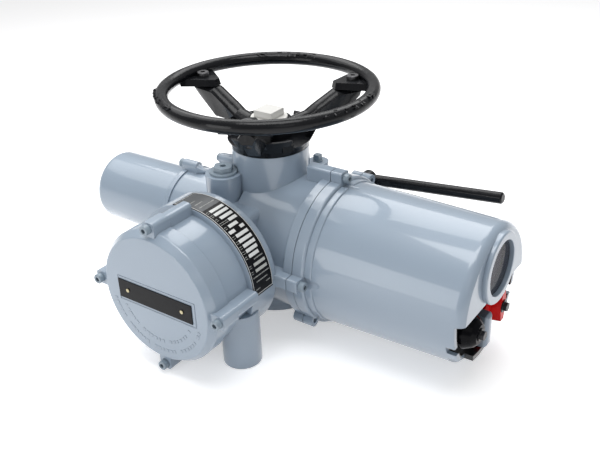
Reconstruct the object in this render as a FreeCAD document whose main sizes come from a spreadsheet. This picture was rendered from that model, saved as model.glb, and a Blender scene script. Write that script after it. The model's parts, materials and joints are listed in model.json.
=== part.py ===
import FreeCAD, Part
import math
import os
import Sketcher

# Electric valve actuator, millimetres. +Z runs up the output axis and handwheel axis.
# The origin is the centre of the valve flange's underside.
# +X points from the motor to the control cover, and -Y to the terminal compartment.

SIZES = {
    # Running and assembly clearances
    "run_gap": 0.06,
    "part_gap": 0.3,
    "seat_gap": 0.1,
    # Valve flange and thrust base
    "flange_radius": 45,
    "flange_thick": 12,
    "flange_pitch_radius": 35,
    "flange_hole_radius": 4,
    "recess_radius": 27.5,
    "recess_depth": 3,
    "base_plate_thick": 10,
    "spigot_height": 12,
    "lower_bearing_seat": 20,
    "base_screw_radius": 2.5,
    "base_screw_head": 4.25,
    "base_screw_sink": 6,
    "screw_play": 0.2,
    "screw_sunk": 0.5,
    "base_screw_grip": 12,
    # Gear case
    "drum_radius": 68,
    "drum_round": 7,
    "boss_root": 30,
    "boss_low": 130,
    "pinion_room_depth": 60,
    "fork_room_start": 20,
    "fork_room_half": 16,
    "fork_room_rise": 18,
    "base_thread_depth": 14,
    "drum_wall": 12,
    "roof_thick": 12,
    "column_radius": 53.5,
    "column_height": 64,
    "shaft_height": 105,
    "case_radius": 62,
    "case_wall": 8,
    "lobe_wall": 7,
    "shelf_gap": 6,
    "shelf_thick": 16,
    "clutch_room_radius": 46,
    "clutch_room_height": 25,
    "crank_room": 16,
    "column_bore": 33.6,
    "column_seat_radius": 36,
    "column_seat_depth": 29,
    # Control end
    "control_height": 109,
    "flare_start": -11,
    "flare_radius": 96.5,
    "flare_round": 4,
    "flange_round": 3,
    "control_seam": 103,
    "control_flange_radius": 104,
    "control_flange_thick": 15,
    "control_cavity_radius": 87,
    "control_cavity_depth": 29,
    "control_bolt_radius": 109,
    "control_low_bolt_radius": 99,
    "control_lug_start": 66,
    "control_lug_half": 9,
    "lug_edge": 8.5,
    "low_lug_edge": 8,
    "lug_round": 3,
    "scallop_radius": 12,
    "low_scallop_radius": 8,
    "scallop_end": 138,
    "jack_bolt_radius": 105,
    "jack_lug_radius": 9,
    "jack_lug_end": 118,
    "gasket_thick": 0.8,
    "cover_flange_end": 120,
    "cover_step_end": 130,
    "cover_step_radius": 100,
    "cover_radius": 98,
    "cover_nose_radius": 94,
    "cover_end": 340,
    "cover_shoulder": 14,
    "face_recess": 1.5,
    "face_radius": 88,
    "face_wall": 8,
    "shelf_wall": 7,
    "hood_length": 20,
    "notch_depth": 12,
    "notch_low": 66,
    "notch_high": 78,
    "cover_hole_length": 20,
    "control_thread_depth": 24,
    "control_screw_length": 38,
    "step_round": 1.5,
    "chord_height": 113,
    "knob_room_depth": 40,
    "skin_setback": 12,
    "window_height": 151,
    "window_radius": 36,
    "window_ring_radius": 47,
    "window_ring_thick": 6,
    "glass_thick": 6,
    "ring_round": 2.5,
    "display_thick": 5,
    "display_depth": 8,
    "board_thick": 4,
    "board_half": 52,
    "board_low": 12,
    "pillar_radius": 3,
    "pillar_spread": 46,
    "pillar_rise": 32,
    # Selector knobs
    "knob_spread": 37,
    "knob_height": 73,
    "knob_radius": 23,
    "knob_setback": 3,
    "dome_radius": 24,
    "dome_setback": 2,
    "dome_foot": 5,
    "dome_bend": 16,
    "dome_slope": 5.5,
    "grip_height": 12,
    "grip_foot": 14,
    "grip_top": 9,
    "knob_disc_radius": 8.5,
    "knob_disc_thick": 1.5,
    "knob_bolt_head": 6.5,
    "knob_bolt_height": 4.8,
    "knob_hole_back": 20,
    "knob_hole_length": 30,
    "spindle_length": 26,
    "web_setback": 4,
    "web_low": 32,
    "web_high": 79,
    "web_half": 8,
    "chin_depth": 27,
    "chin_half": 75,
    "chin_high": 52,
    "tongue_setback": 15,
    "tongue_half": 21.5,
    "knob_shaft_radius": 6,
    # Terminal compartment
    "terminal_offset": -13,
    "terminal_height": 111.7,
    "terminal_radius": 90,
    "terminal_wall": 9,
    "terminal_depth_left": 10,
    "housing_round": 5,
    "terminal_face_wall": 7,
    "face_bevel": 10,
    "terminal_hole_length": 40,
    "terminal_thread_depth": 26,
    "terminal_screw_length": 50,
    "block_radius": 62,
    "block_height": 26,
    "stud_circle": 40,
    "stud_radius": 3,
    "stud_length": 14,
    "terminal_seam": 203,
    "band_front": 162,
    "band_back": 110,
    "band_radius": 98,
    "terminal_bolt_radius": 100,
    "terminal_lug_edge": 8,
    "terminal_lug_half": 9.5,
    "terminal_lug_round": 5,
    "terminal_column_edge": 6.5,
    "terminal_column_half": 8,
    "terminal_face": 236,
    "terminal_lug_front": 232,
    "face_plateau_radius": 86,
    "neck_width": 90,
    "neck_bottom": 24,
    "neck_inner": 20,
    "neck_round": 8,
    "conduit_spread": 69,
    "conduit_reach": 157,
    "conduit_radius": 26,
    "conduit_thread_radius": 16,
    "conduit_thread_depth": 18,
    "conduit_bore": 14,
    "conduit_top": 80,
    "conduit_way": 90,
    "plate_thick": 1,
    "plate_inset": 12,
    "bar_thick": 1.2,
    "rivet_radius": 2.6,
    "rivet_spread": 46,
    "name_bar_width": 124,
    "name_bar_height": 27,
    # Motor
    "motor_seam": 155,
    "motor_radius": 54.5,
    "motor_end": 316,
    "motor_wall": 5,
    "can_flange": 9,
    "can_round": 11,
    "rear_wall": 7,
    "rotor_bearing_radius": 17,
    "rotor_bearing_width": 12,
    "coil_length": 14,
    "coil_gap": 5,
    "motor_shaft_tail": 8,
    "motor_shaft_nose": 53,
    "motor_thread_depth": 15,
    "motor_screw_length": 24,
    "taper_radius": 9,
    "taper_length": 14,
    "taper_rise": 3,
    "motor_bolt_radius": 70,
    "motor_lug_radius": 7.5,
    "motor_lug_length": 17,
    "can_lug_length": 10,
    "stator_front": 185,
    "stator_back": 280,
    "rotor_radius": 27,
    "motor_shaft_radius": 8,
    # Gear train
    "gear_module": 2,
    "gear_width": 18,
    "gear_start": 33,
    "gear_room_play": 8,
    "tunnel_end": 94,
    "worm_hole_back": 40,
    "worm_hole_end": 100,
    "worm_shaft_end": 77,
    "worm_bearing_start": 66,
    "worm_bearing_end": 60,
    "worm_bearing_width": 12,
    "worm_tip": 15,
    "worm_shaft_radius": 8,
    "worm_bearing_radius": 20,
    "wheel_width": 22,
    "tooth_backlash": 0.3,
    # Output column
    "sleeve_radius": 23,
    "sleeve_bore": 16,
    "sleeve_foot": 3.5,
    "sleeve_rise": 9,
    "bush_radius": 20,
    "bush_bore": 14,
    "bush_length": 42,
    "lower_bearing_radius": 33,
    "upper_bearing_radius": 31,
    "bearing_height": 12,
    # Clutch, fork and lever
    "clutch_radius": 33,
    "clutch_gap": 3,
    "clutch_height": 14,
    "dog_height": 5,
    "clutch_travel": 12,
    "groove_depth": 5,
    "fork_thick": 3.4,
    "ear_half": 9,
    "ear_front": 12,
    "ear_side": 5,
    "ear_thick": 4,
    "slot_back": 5,
    "slot_front": 8,
    "pin_play": 0.4,
    "guide_radius": 4,
    "guide_offset": 44,
    "guide_rise": 14,
    "lever_offset": 88,
    "lever_height": 163,
    "lever_reach": 115,
    "lever_length": 208,
    "lever_rod_radius": 8,
    "lever_hub_radius": 12.5,
    "lever_shaft_radius": 7,
    "lever_boss_radius": 13,
    "crank_length": 24,
    "crank_half": 4,
    "crank_tip": 5,
    "crank_pin_radius": 3,
    "crank_pin_length": 14,
    "lever_hub_back": 10.5,
    "lever_hub_width": 18,
    "lever_boss_start": 50,
    "lever_play": 0.5,
    "lever_hole_back": 10,
    "lever_shaft_tail": 8,
    # Handwheel
    "wheel_height": 320,
    "wheel_radius": 150,
    "rim_thick": 18.6,
    "hub_radius": 53.2,
    "hub_mouth_radius": 66,
    "hub_mouth_rise": 26,
    "hub_height": 37,
    "hub_boss_radius": 30,
    "lip_width": 3,
    "lip_rise": 8,
    "bowl_wall": 5,
    "bowl_floor": 12,
    "pad_depth": 12,
    "pad_width": 15,
    "pad_height": 9,
    "arm_lift": 8,
    "arm_foot_depth": 17.7,
    "arm_tip_width": 25.5,
    "arm_foot_width": 23,
    "arm_width": 27,
    "rim_lug_drop": 13,
    "rim_lug_thick": 9,
    "rim_lug_half": 33,
    "rim_lug_tip": 96,
    "rim_lug_nose": 5,
    "rim_lug_inset": 7,
    "rim_hole_drop": 52,
    "rim_hole_length": 60,
    "rim_bolt_grip": 18,
    "rim_bolt_head": 8.5,
    "rim_bolt_height": 6,
    "arm_bolt_radius": 123,
    "tube_radius": 24,
    "tube_bore": 17,
    "tube_flange": 5,
    "column_bearing_height": 14,
    "seal_height": 8,
    "seal_rise": 16,
    "cap_side": 29,
    "cap_height": 13,
    # Plugs
    "filler_offset": 37,
    "filler_reach": 60,
    "filler_radius": 25,
    "filler_top": 213,
    "filler_head": 14,
    "filler_head_height": 7,
    "filler_key": 4.6,
    "filler_hole_radius": 9,
    "filler_hole_depth": 30,
    "filler_grip": 20,
    "washer_radius": 19,
    "washer_thick": 3,
    "washer_room": 0.5,
    "washer_face_height": 7,
    "plug_hole_radius": 6,
    "plug_hole_depth": 25,
    "square_side": 9,
    "square_height": 8,
    "side_boss_radius": 7.5,
    "side_boss_root": 10,
    "side_boss_length": 34,
    "side_hole_radius": 4,
    "side_hole_depth": 20,
    "side_grip": 14,
    "side_head_radius": 5.5,
    "side_head_height": 5,
    "thread_play": 0.2,
    "pin_gap": 0.1,
    "plug_boss_radius": 15.5,
    "plug_boss_top": 201.5,
    "side_plug_height": 214,
    "side_plug_reach": 70,
    "side_plug_offset": 24,
    # Fasteners
    "bolt_radius": 4,
    "bolt_head_radius": 6.5,
    "bolt_head_height": 8,
    "head_chamfer": 0.8,
}

PINION_TEETH = 14
GEAR_TEETH = 28
WHEEL_TEETH = 29
PRESSURE_ANGLE = math.radians(20)
ARM_ANGLES = (55, 175, 295)
DOG_COUNT = 4
LEVER_RISE = 5.8
DOG_ANGLE = 40
DOG_START = (180 / DOG_COUNT - DOG_ANGLE) / 2
DEDENDUM = 1.25
FLANK_STEPS = 4
ROOT_SPREAD = 0.012
ROOT_OVERLAP = 0.5
ARM_BEND = 14 / 39
WORM_TURNS = 5.5
KEY_SHARE = 0.85
RIB_FOOT = 0.6
RIB_SHOULDER = 0.55
HALF_STEP = 60
PAD_ANGLE = 330
PLATE_ANGLE = 108
PLATE_START = -3


class Size(float):
    """A length that also knows the sheet formula it comes from."""

    def __new__(cls, value, formula):
        size = super().__new__(cls, value)
        size.formula = formula
        return size

    def joined(self, other, sign, value, swapped=False):
        first, second = (other, self) if swapped else (self, other)
        return Size(value, "(" + formula(first) + sign + formula(second) + ")")

    def __add__(self, other):
        return self.joined(other, " + ", float(self) + float(other))

    def __radd__(self, other):
        return self.joined(other, " + ", float(other) + float(self), True)

    def __sub__(self, other):
        return self.joined(other, " - ", float(self) - float(other))

    def __rsub__(self, other):
        return self.joined(other, " - ", float(other) - float(self), True)

    def __mul__(self, other):
        return self.joined(other, " * ", float(self) * float(other))

    def __rmul__(self, other):
        return self.joined(other, " * ", float(other) * float(self), True)

    def __truediv__(self, other):
        return self.joined(other, " / ", float(self) / float(other))

    def __neg__(self):
        return Size(-float(self), "(-" + self.formula + ")")


def formula(value):
    return value.formula if isinstance(value, Size) else repr(float(value))


class Sizes:
    """The sheet's sizes, each under its alias."""


doc = FreeCAD.newDocument("Actuator")
sheet = doc.addObject("Spreadsheet::Sheet", "Sizes")
S = Sizes()
for row, (alias, value) in enumerate(SIZES.items(), 1):
    sheet.set("A%d" % row, alias)
    sheet.set("B%d" % row, str(value))
    sheet.setAlias("B%d" % row, alias)
    setattr(S, alias, Size(value, "Sizes." + alias))
doc.recompute()

ALONG = {
    "z": FreeCAD.Rotation(),
    "-z": FreeCAD.Rotation(FreeCAD.Vector(1, 0, 0), 180),
    "x": FreeCAD.Rotation(FreeCAD.Vector(0, 1, 0), 90),
    "-x": FreeCAD.Rotation(FreeCAD.Vector(0, 1, 0), -90),
    "y": FreeCAD.Rotation(FreeCAD.Vector(1, 0, 0), -90),
    "-y": FreeCAD.Rotation(FreeCAD.Vector(1, 0, 0), 90),
}

nodes = []


# Helpers that make bound objects

def put(item, x=0, y=0, z=0, turn="z"):
    """Place an object, with its base bound to the sheet."""
    rotation = ALONG[turn] if isinstance(turn, str) else turn
    item.Placement = FreeCAD.Placement(FreeCAD.Vector(x, y, z), rotation)
    for axis, size in zip("xyz", (x, y, z)):
        if isinstance(size, Size):
            item.setExpression("Placement.Base." + axis, size.formula)
    return item


def bind(item, **sizes):
    for name, size in sizes.items():
        setattr(item, name, float(size))
        if isinstance(size, Size):
            item.setExpression(name, size.formula)
    return item


def cylinder(name, radius, length, x=0, y=0, z=0, along="z"):
    item = bind(doc.addObject("Part::Cylinder", name), Radius=radius, Height=length)
    return put(item, x, y, z, along)


def cone(name, radius, end_radius, length, x=0, y=0, z=0, along="z"):
    item = bind(doc.addObject("Part::Cone", name), Radius1=radius, Radius2=end_radius, Height=length)
    return put(item, x, y, z, along)


def box(name, low, high):
    """A box between two corners."""
    lengths = [b - a for a, b in zip(low, high)]
    item = bind(doc.addObject("Part::Box", name), Length=lengths[0], Width=lengths[1], Height=lengths[2])
    return put(item, *low)


def prism(name, corners, radius, length, x=0, y=0, z=0, along="z"):
    """A regular prism such as a hexagon head."""
    item = bind(doc.addObject("Part::Prism", name), Circumradius=radius, Height=length)
    item.Polygon = corners
    return put(item, x, y, z, along)


def sphere(name, radius, x, y, z):
    return put(bind(doc.addObject("Part::Sphere", name), Radius=radius), x, y, z)


def fuse(name, *items):
    item = doc.addObject("Part::MultiFuse", name)
    item.Shapes = list(items)
    item.Refine = True
    return item


def cut(name, base, *tools):
    item = doc.addObject("Part::Cut", name)
    item.Base = base
    item.Tool = tools[0] if len(tools) == 1 else fuse(name + "_tools", *tools)
    item.Refine = True
    return item


def common(name, base, tool):
    item = doc.addObject("Part::Common", name)
    item.Base = base
    item.Tool = tool
    item.Refine = True
    return item


def group(name, *items):
    """Several equal loose solids in one node."""
    item = doc.addObject("Part::Compound", name)
    item.Links = list(items)
    return item


def fixed(name, shape):
    """A shape made by Part's own functions."""
    item = doc.addObject("Part::Feature", name)
    item.Shape = shape
    return item


def rounded(name, base, radius, wanted):
    """Fillet the edges that the test picks."""
    doc.recompute()
    picked = [(i, float(radius), float(radius)) for i,
              edge in enumerate(base.Shape.Edges, 1) if wanted(edge)]
    item = doc.addObject("Part::Fillet", name)
    item.Base = base
    item.Edges = picked
    return item


def profile(body, name, points, plane="XZ_Plane"):
    """A closed outline whose corners are bound to the sheet."""
    sketch = body.newObject("Sketcher::SketchObject", name)
    origin_plane = next(part for part in body.Origin.OriginFeatures if part.Role == plane)
    sketch.AttachmentSupport = [(origin_plane, "")]
    sketch.MapMode = "FlatFace"
    corners = [FreeCAD.Vector(float(x), float(y), 0) for x, y in points]
    for i, corner in enumerate(corners):
        sketch.addGeometry(Part.LineSegment(corner, corners[(i + 1) % len(corners)]), False)
    for i, point in enumerate(points):
        sketch.addConstraint(Sketcher.Constraint("Coincident", i, 2, (i + 1) % len(points), 1))
        for kind, value, axis in (("DistanceX", point[0], -2), ("DistanceY", point[1], -1)):
            if float(value) == 0:
                sketch.addConstraint(Sketcher.Constraint("PointOnObject", i, 1, axis))
                continue
            number = sketch.addConstraint(Sketcher.Constraint(kind, -1, 1, i, 1, float(value)))
            if isinstance(value, Size):
                sketch.setExpression("Constraints[%d]" % number, value.formula)
    return sketch


def turned(name, points, rounds=(), x=0, y=0, z=0, along="z"):
    """A turned body: its outline holds (radius, height) corners, some of them rounded."""
    body = doc.addObject("PartDesign::Body", name)
    sketch = profile(body, name + "_outline", points)
    turn = body.newObject("PartDesign::Revolution", name + "_turn")
    turn.Profile = sketch
    turn.ReferenceAxis = (sketch, ["V_Axis"])
    turn.Angle = 360
    body.Tip = turn
    doc.recompute()
    last = turn
    for radius, corners in rounds:
        picked = []
        for corner in corners:
            ring, level = points[corner]
            for i, edge in enumerate(last.Shape.Edges, 1):
                circle = edge.Curve
                if isinstance(circle, Part.Circle) and abs(circle.Radius - ring) < 0.01:
                    if abs(circle.Center.z - level) < 0.01:
                        picked.append("Edge%d" % i)
        fillet = body.newObject("PartDesign::Fillet", name + "_round")
        fillet.Base = (last, picked)
        bind(fillet, Radius=radius)
        body.Tip = fillet
        doc.recompute()
        last = fillet
    return put(body, x, y, z, along)


def ring(name, outer, inner, length, x=0, y=0, z=0, along="z"):
    outline = [(inner, 0), (outer, 0), (outer, length), (inner, length)]
    return turned(name, outline, (), x, y, z, along)


def around(count, start, radius):
    """Bolt circle places, as pairs of offsets across and up."""
    step = 360 / count
    angles = [math.radians(start + step * i) for i in range(count)]
    return [(radius * round(math.cos(a), 9), radius * round(math.sin(a), 9)) for a in angles]


def socket_screw(name, shank, x, y, z, along, wide=S.bolt_head_radius, head=S.bolt_head_height):
    """A socket head screw whose head's underside is at the given point, shank running away."""
    outline = [
        (0, -shank),
        (S.bolt_radius, -shank),
        (S.bolt_radius, 0),
        (wide, 0),
        (wide, head - S.head_chamfer),
        (wide - S.head_chamfer, head),
        (0, head),
    ]
    body = turned(name, outline)
    key = prism(name + "_key", 6, S.bolt_radius * KEY_SHARE, head, 0, 0, head / 2)
    return put(cut(name + "_screw", body, key), x, y, z, along)


def node(item, label):
    item.Label = label
    nodes.append(item)
    return item


# Gear case casting

def case_floor():
    """The level where the case stands on the thrust base's plate."""
    return S.flange_thick + S.base_plate_thick


# Levels that stand on one another, from the worm shaft up to the hub

def shelf_low():
    return S.shaft_height + S.wheel_width / 2 + S.shelf_gap


def clutch_low():
    return shelf_low() + S.shelf_thick + S.clutch_gap


def clutch_room_top():
    return clutch_low() + S.clutch_room_height


def drum_top():
    return clutch_room_top() + S.roof_thick


def column_top():
    return drum_top() + S.column_height


def hub_mouth_height():
    return column_top() + S.hub_mouth_rise


def hub_top():
    return column_top() + S.hub_height


def rim_lug_low():
    return S.wheel_height - S.rim_lug_drop


# Levels that stand back from the control cover's face

def knob_room_back():
    return S.cover_end - S.knob_room_depth


def skin_front():
    return S.cover_end - S.skin_setback


def knob_front():
    return S.cover_end - S.knob_setback


def dome_front():
    return S.cover_end - S.dome_setback


def web_front():
    return S.cover_end - S.web_setback


# Places in the gear case

def gear_room_start():
    return -S.motor_seam + S.gear_start - 2


def gear_room_length():
    return S.gear_width + S.gear_room_play


def lobe_start():
    return gear_room_start() - S.lobe_wall


def worm_start():
    return -S.motor_seam + S.gear_start - 1


def worm_hole_start():
    return -S.motor_seam + S.worm_hole_back


def flange_back():
    """The control flange's back face."""
    return S.control_seam - S.control_flange_thick


def terminal_floor():
    return S.band_back + S.terminal_depth_left


def lever_hub_start():
    return S.lever_reach - S.lever_hub_back


def side_lugs(name, along, across, height, reaches, half, corner, start, end):
    """Box lugs on the four sides of a round flange, each with its own reach."""
    inner = S.control_cavity_radius if along == "x" else S.terminal_radius - S.terminal_wall
    lugs = []
    for i, reach in enumerate(reaches):
        radial = (inner, reach) if i < 2 else (-reach, -inner)
        sides = (radial, (-half, half)) if i % 2 == 0 else ((-half, half), radial)
        flat, tall = sides
        if along == "x":
            low = (start, across + flat[0], height + tall[0])
            high = (end, across + flat[1], height + tall[1])
        else:
            low = (across + flat[0], -end, height + tall[0])
            high = (across + flat[1], -start, height + tall[1])
        lug = box("%s%d_" % (name, i), low, high)
        lengthwise = "XLength" if along == "x" else "YLength"
        lugs.append(rounded("%s_round%d_" % (name, i), lug, corner,
                            lambda e: getattr(e.BoundBox, lengthwise) > (end - start) / 2))
    return lugs


def control_places():
    """Cover screws at both sides and the top, and one drawn in at the bottom."""
    return around(4, 0, S.control_bolt_radius)[:3] + around(4, 0, S.control_low_bolt_radius)[3:]


def control_lugs(name, start, end):
    reach = S.control_bolt_radius + S.lug_edge
    reaches = (reach, reach, reach, S.control_low_bolt_radius + S.low_lug_edge)
    return side_lugs(name, "x", 0, S.control_height, reaches, S.control_lug_half, S.lug_round, start, end)


def terminal_lugs(name, half, edge, start, end):
    reaches = (S.terminal_bolt_radius + edge,) * 4
    return side_lugs(name, "-y", S.terminal_offset, S.terminal_height, reaches, half,
                     S.terminal_lug_round, start, end)


def jack_lugs(name, start, end):
    """Round lugs for the two screws that push the cover off its gasket."""
    lugs = []
    for i, (across, up) in enumerate(around(2, 45, S.jack_bolt_radius)):
        lugs.append(cylinder("%s%d_" % (name, i), S.jack_lug_radius, end - start, start, across,
                             S.control_height + up, "x"))
    return lugs


def motor_lug(name, across, up, start, end):
    """A round lug on the motor's side with a web down to the round housing."""
    z = S.shaft_height + up
    bar = cylinder(name, S.motor_lug_radius, end - start, start, across, z, "x")
    inner = S.motor_radius / S.motor_bolt_radius
    low = []
    high = []
    for place, middle in ((across, 0), (up, S.shaft_height)):
        if float(place) == 0:
            low.append(middle - S.motor_lug_radius)
            high.append(middle + S.motor_lug_radius)
            continue
        ends = sorted((place, place * inner), key=float)
        low.append(middle + ends[0])
        high.append(middle + ends[1])
    return [bar, box(name + "web", (start, low[0], low[1]), (end, high[0], high[1]))]


def gear_case_outside():
    drum = cylinder("drum", S.drum_radius, drum_top() - case_floor(), 0, 0, case_floor())
    drum = rounded("drum_round", drum, S.drum_round, lambda e: abs(e.BoundBox.ZMin - drum_top()) < 0.01)
    motor_side = cylinder("motor_side", S.case_radius, S.motor_seam, -S.motor_seam, 0, S.shaft_height, "x")
    lobe_radius = gear_tip_radius(GEAR_TEETH) + 1 + S.lobe_wall
    lobe = cylinder("gear_lobe", lobe_radius, gear_room_length() + 2 * S.lobe_wall, lobe_start(),
                    gear_centre(),
                    S.shaft_height, "x")
    tunnel = cylinder("worm_tunnel", S.worm_bearing_radius + S.lobe_wall, S.tunnel_end - lobe_start(),
                      lobe_start(), gear_centre(), S.shaft_height, "x")
    flare = cylinder("flare", S.flare_radius, flange_back() + S.flange_round - S.flare_start,
                     S.flare_start, 0,
                     S.control_height, "x")
    flare = rounded("flare_round", flare, S.flare_round, lambda e: e.BoundBox.XMax < S.flare_start + 0.01)
    flange = turned("control_flange", [
        (0, 0),
        (S.control_flange_radius, 0),
        (S.control_flange_radius, S.control_flange_thick),
        (0, S.control_flange_thick),
    ], ((3, (1,)),), S.control_seam - S.control_flange_thick, 0, S.control_height, "x")
    column = cylinder("column", S.column_radius, column_top() - drum_top() + S.boss_root, 0, 0,
                      drum_top() - S.boss_root)
    pieces = [drum, motor_side, lobe, tunnel, flare, flange, column]
    pieces += control_lugs("control_lug", S.control_lug_start, S.control_seam)
    pieces += jack_lugs("jack_pad", S.control_seam - S.control_flange_thick, S.control_seam)
    pieces += [
        cylinder("lever_boss", S.lever_boss_radius, lever_hub_start() - S.lever_play - S.lever_boss_start,
                 S.lever_offset,
                 S.lever_boss_start, S.lever_height, "y"),
        cylinder("filler_boss", S.filler_radius, S.filler_top - S.boss_low, -S.filler_offset,
                 -S.filler_reach,
                 S.boss_low),
        cylinder("plug_boss", S.plug_boss_radius, S.plug_boss_top - S.boss_low, S.filler_offset,
                 S.filler_reach, S.boss_low),
        cone("side_boss", S.side_boss_radius, S.side_boss_root, S.side_boss_length, -S.side_plug_reach,
             -S.side_plug_offset,
             S.side_plug_height, "x"),
    ]
    for i, (across, up) in enumerate(around(4, 0, S.motor_bolt_radius)):
        pieces += motor_lug("motor_lug%d_" % i, across, up, -S.motor_seam,
                            -S.motor_seam + S.motor_lug_length)
        share = (S.case_radius + S.taper_rise) / S.motor_bolt_radius
        pieces.append(cone("motor_taper%d_" % i, S.taper_radius, 1, S.taper_length,
                           -S.motor_seam + S.motor_lug_length,
                           across * share, S.shaft_height + up * share, "x"))
    return fuse("case_outside", *pieces)


def terminal_outside():
    neck = box("neck", (S.terminal_offset - S.neck_width / 2, -terminal_floor(), S.neck_bottom),
               (S.terminal_offset + S.neck_width / 2, -S.neck_inner, drum_top() - 1))
    neck = rounded("neck_round", neck, S.neck_round, lambda e: e.BoundBox.YLength > S.neck_width / 2)
    housing = turned("terminal_housing", [
        (0, S.band_back),
        (S.band_radius, S.band_back),
        (S.band_radius, S.band_front),
        (S.terminal_radius, S.band_front),
        (S.terminal_radius, S.terminal_seam),
        (0, S.terminal_seam),
    ], ((S.housing_round, (1,)), (S.step_round, (2,))), S.terminal_offset, 0, S.terminal_height, "-y")
    pieces = [neck, housing]
    pieces += terminal_lugs("terminal_lug", S.terminal_column_half, S.terminal_column_edge,
                            S.band_front, S.terminal_seam)
    for side in (-1, 1):
        x = S.terminal_offset + side * S.conduit_spread
        boss = turned("conduit_boss%d_" % (side + 1), [
            (0, 0),
            (S.conduit_radius, 0),
            (S.conduit_radius, S.conduit_top),
            (0, S.conduit_top),
        ], ((2, (1,)),), x, -S.conduit_reach)
        pieces.append(boss)
    return fuse("terminal_outside", *pieces)


def case_hollows():
    """Everything that is bored or cored out of the casting."""
    roof = S.drum_radius - S.drum_wall
    chamber = S.case_radius - S.case_wall
    hollows = [
        cylinder("plate_room", S.drum_radius + S.part_gap, case_floor()),
        cylinder("wheel_room", roof, shelf_low() - case_floor(), 0, 0, case_floor()),
        cylinder("shelf_lip", S.upper_bearing_radius - 3, S.shelf_thick, 0, 0, shelf_low()),
        cylinder("shelf_seat", S.upper_bearing_radius, S.shelf_thick, 0, 0, shelf_low() + 2),
        cylinder("clutch_room", S.clutch_room_radius, clutch_room_top() - shelf_low() - S.shelf_thick,
                 0, 0, shelf_low() + S.shelf_thick),
        cylinder("column_hole", S.column_bore, column_top() - shelf_low() - S.shelf_thick, 0, 0,
                 shelf_low() + S.shelf_thick),
        cylinder("column_seat", S.column_seat_radius, S.column_seat_depth, 0, 0,
                 column_top() - S.column_seat_depth),
        cylinder("worm_hole", S.worm_bearing_radius, S.worm_hole_end - worm_hole_start(), worm_hole_start(),
                 gear_centre(), S.shaft_height, "x"),
        cylinder("pinion_room", chamber, S.pinion_room_depth, -S.motor_seam, 0, S.shaft_height, "x"),
        cylinder("gear_room", gear_tip_radius(GEAR_TEETH) + 1, gear_room_length(), gear_room_start(),
                 gear_centre(), S.shaft_height, "x"),
        cylinder("control_room", S.control_cavity_radius, S.control_cavity_depth,
                 S.control_seam - S.control_cavity_depth, 0, S.control_height, "x"),
        box("fork_room", (S.fork_room_start, -S.fork_room_half, shelf_low() + S.shelf_thick + 1),
            (S.lever_offset + 6, S.fork_room_half, clutch_room_top() + S.fork_room_rise)),
        box("crank_room", (S.lever_offset - S.crank_length - S.ear_front, -S.fork_room_half,
                           S.lever_height - S.crank_room),
            (S.lever_offset + 6, S.fork_room_half, S.lever_height + S.crank_room)),
        cylinder("lever_hole", S.lever_shaft_radius + S.run_gap, S.lever_reach + 2 * S.lever_hole_back,
                 S.lever_offset,
                 -S.lever_hole_back, S.lever_height, "y"),
        cylinder("terminal_room", S.terminal_radius - S.terminal_wall, S.terminal_seam - terminal_floor(),
                 S.terminal_offset, -terminal_floor(), S.terminal_height, "-y"),
        cylinder("filler_hole", S.filler_hole_radius, S.filler_hole_depth, -S.filler_offset,
                 -S.filler_reach,
                 S.filler_top - S.filler_hole_depth),
        cylinder("washer_face", S.washer_radius + S.washer_room, S.washer_face_height, -S.filler_offset,
                 -S.filler_reach, S.filler_top),
        cylinder("plug_hole", S.plug_hole_radius, S.plug_hole_depth, S.filler_offset, S.filler_reach,
                 S.plug_boss_top - S.plug_hole_depth),
        cylinder("side_hole", S.side_hole_radius, S.side_hole_depth, -S.side_plug_reach,
                 -S.side_plug_offset,
                 S.side_plug_height, "x"),
    ]
    for side in (-1, 1):
        x = S.terminal_offset + side * S.conduit_spread
        name = "conduit%d_" % (side + 1)
        hollows.append(cylinder(name + "thread", S.conduit_thread_radius, S.conduit_thread_depth, x,
                                -S.conduit_reach))
        hollows.append(cylinder(name + "way", S.conduit_bore, S.conduit_way, x, -S.conduit_reach))
    for i, (across, up) in enumerate(control_places()):
        hollows.append(cylinder("control_thread%d_" % i, S.bolt_radius, S.control_thread_depth,
                                S.control_seam - S.control_thread_depth, across,
                                S.control_height + up, "x"))
    for i, (across, up) in enumerate(around(4, 0, S.terminal_bolt_radius)):
        hollows.append(cylinder("terminal_thread%d_" % i, S.bolt_radius, S.terminal_thread_depth,
                                S.terminal_offset + across,
                                -S.terminal_seam + S.terminal_thread_depth, S.terminal_height + up, "-y"))
    for i, (across, up) in enumerate(around(4, 0, S.motor_bolt_radius)):
        hollows.append(cylinder("motor_thread%d_" % i, S.bolt_radius, S.motor_thread_depth, -S.motor_seam,
                                across,
                                S.shaft_height + up, "x"))
    for i, (across, up) in enumerate(around(4, 0, base_bolt_radius())):
        hollows.append(cylinder("base_thread%d_" % i, S.base_screw_radius, S.base_thread_depth, across, up,
                                case_floor()))
    return hollows


def gear_case():
    outside = fuse("case_body", gear_case_outside(), terminal_outside())
    return node(cut("case_casting", outside, *case_hollows()), "gear_case")


# Gears and worm

def gear_pitch_radius(teeth):
    return S.gear_module * teeth / 2


def gear_tip_radius(teeth):
    return gear_pitch_radius(teeth) + S.gear_module


def gear_root_radius(teeth):
    return gear_pitch_radius(teeth) - DEDENDUM * S.gear_module


def gear_centre():
    """Offset of the worm shaft from the motor axis, which is also the worm's distance from the wheel."""
    return gear_pitch_radius(PINION_TEETH) + gear_pitch_radius(GEAR_TEETH)


def worm_pitch_radius():
    return gear_centre() - gear_pitch_radius(WHEEL_TEETH)


def involute(angle):
    return math.tan(angle) - angle


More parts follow.
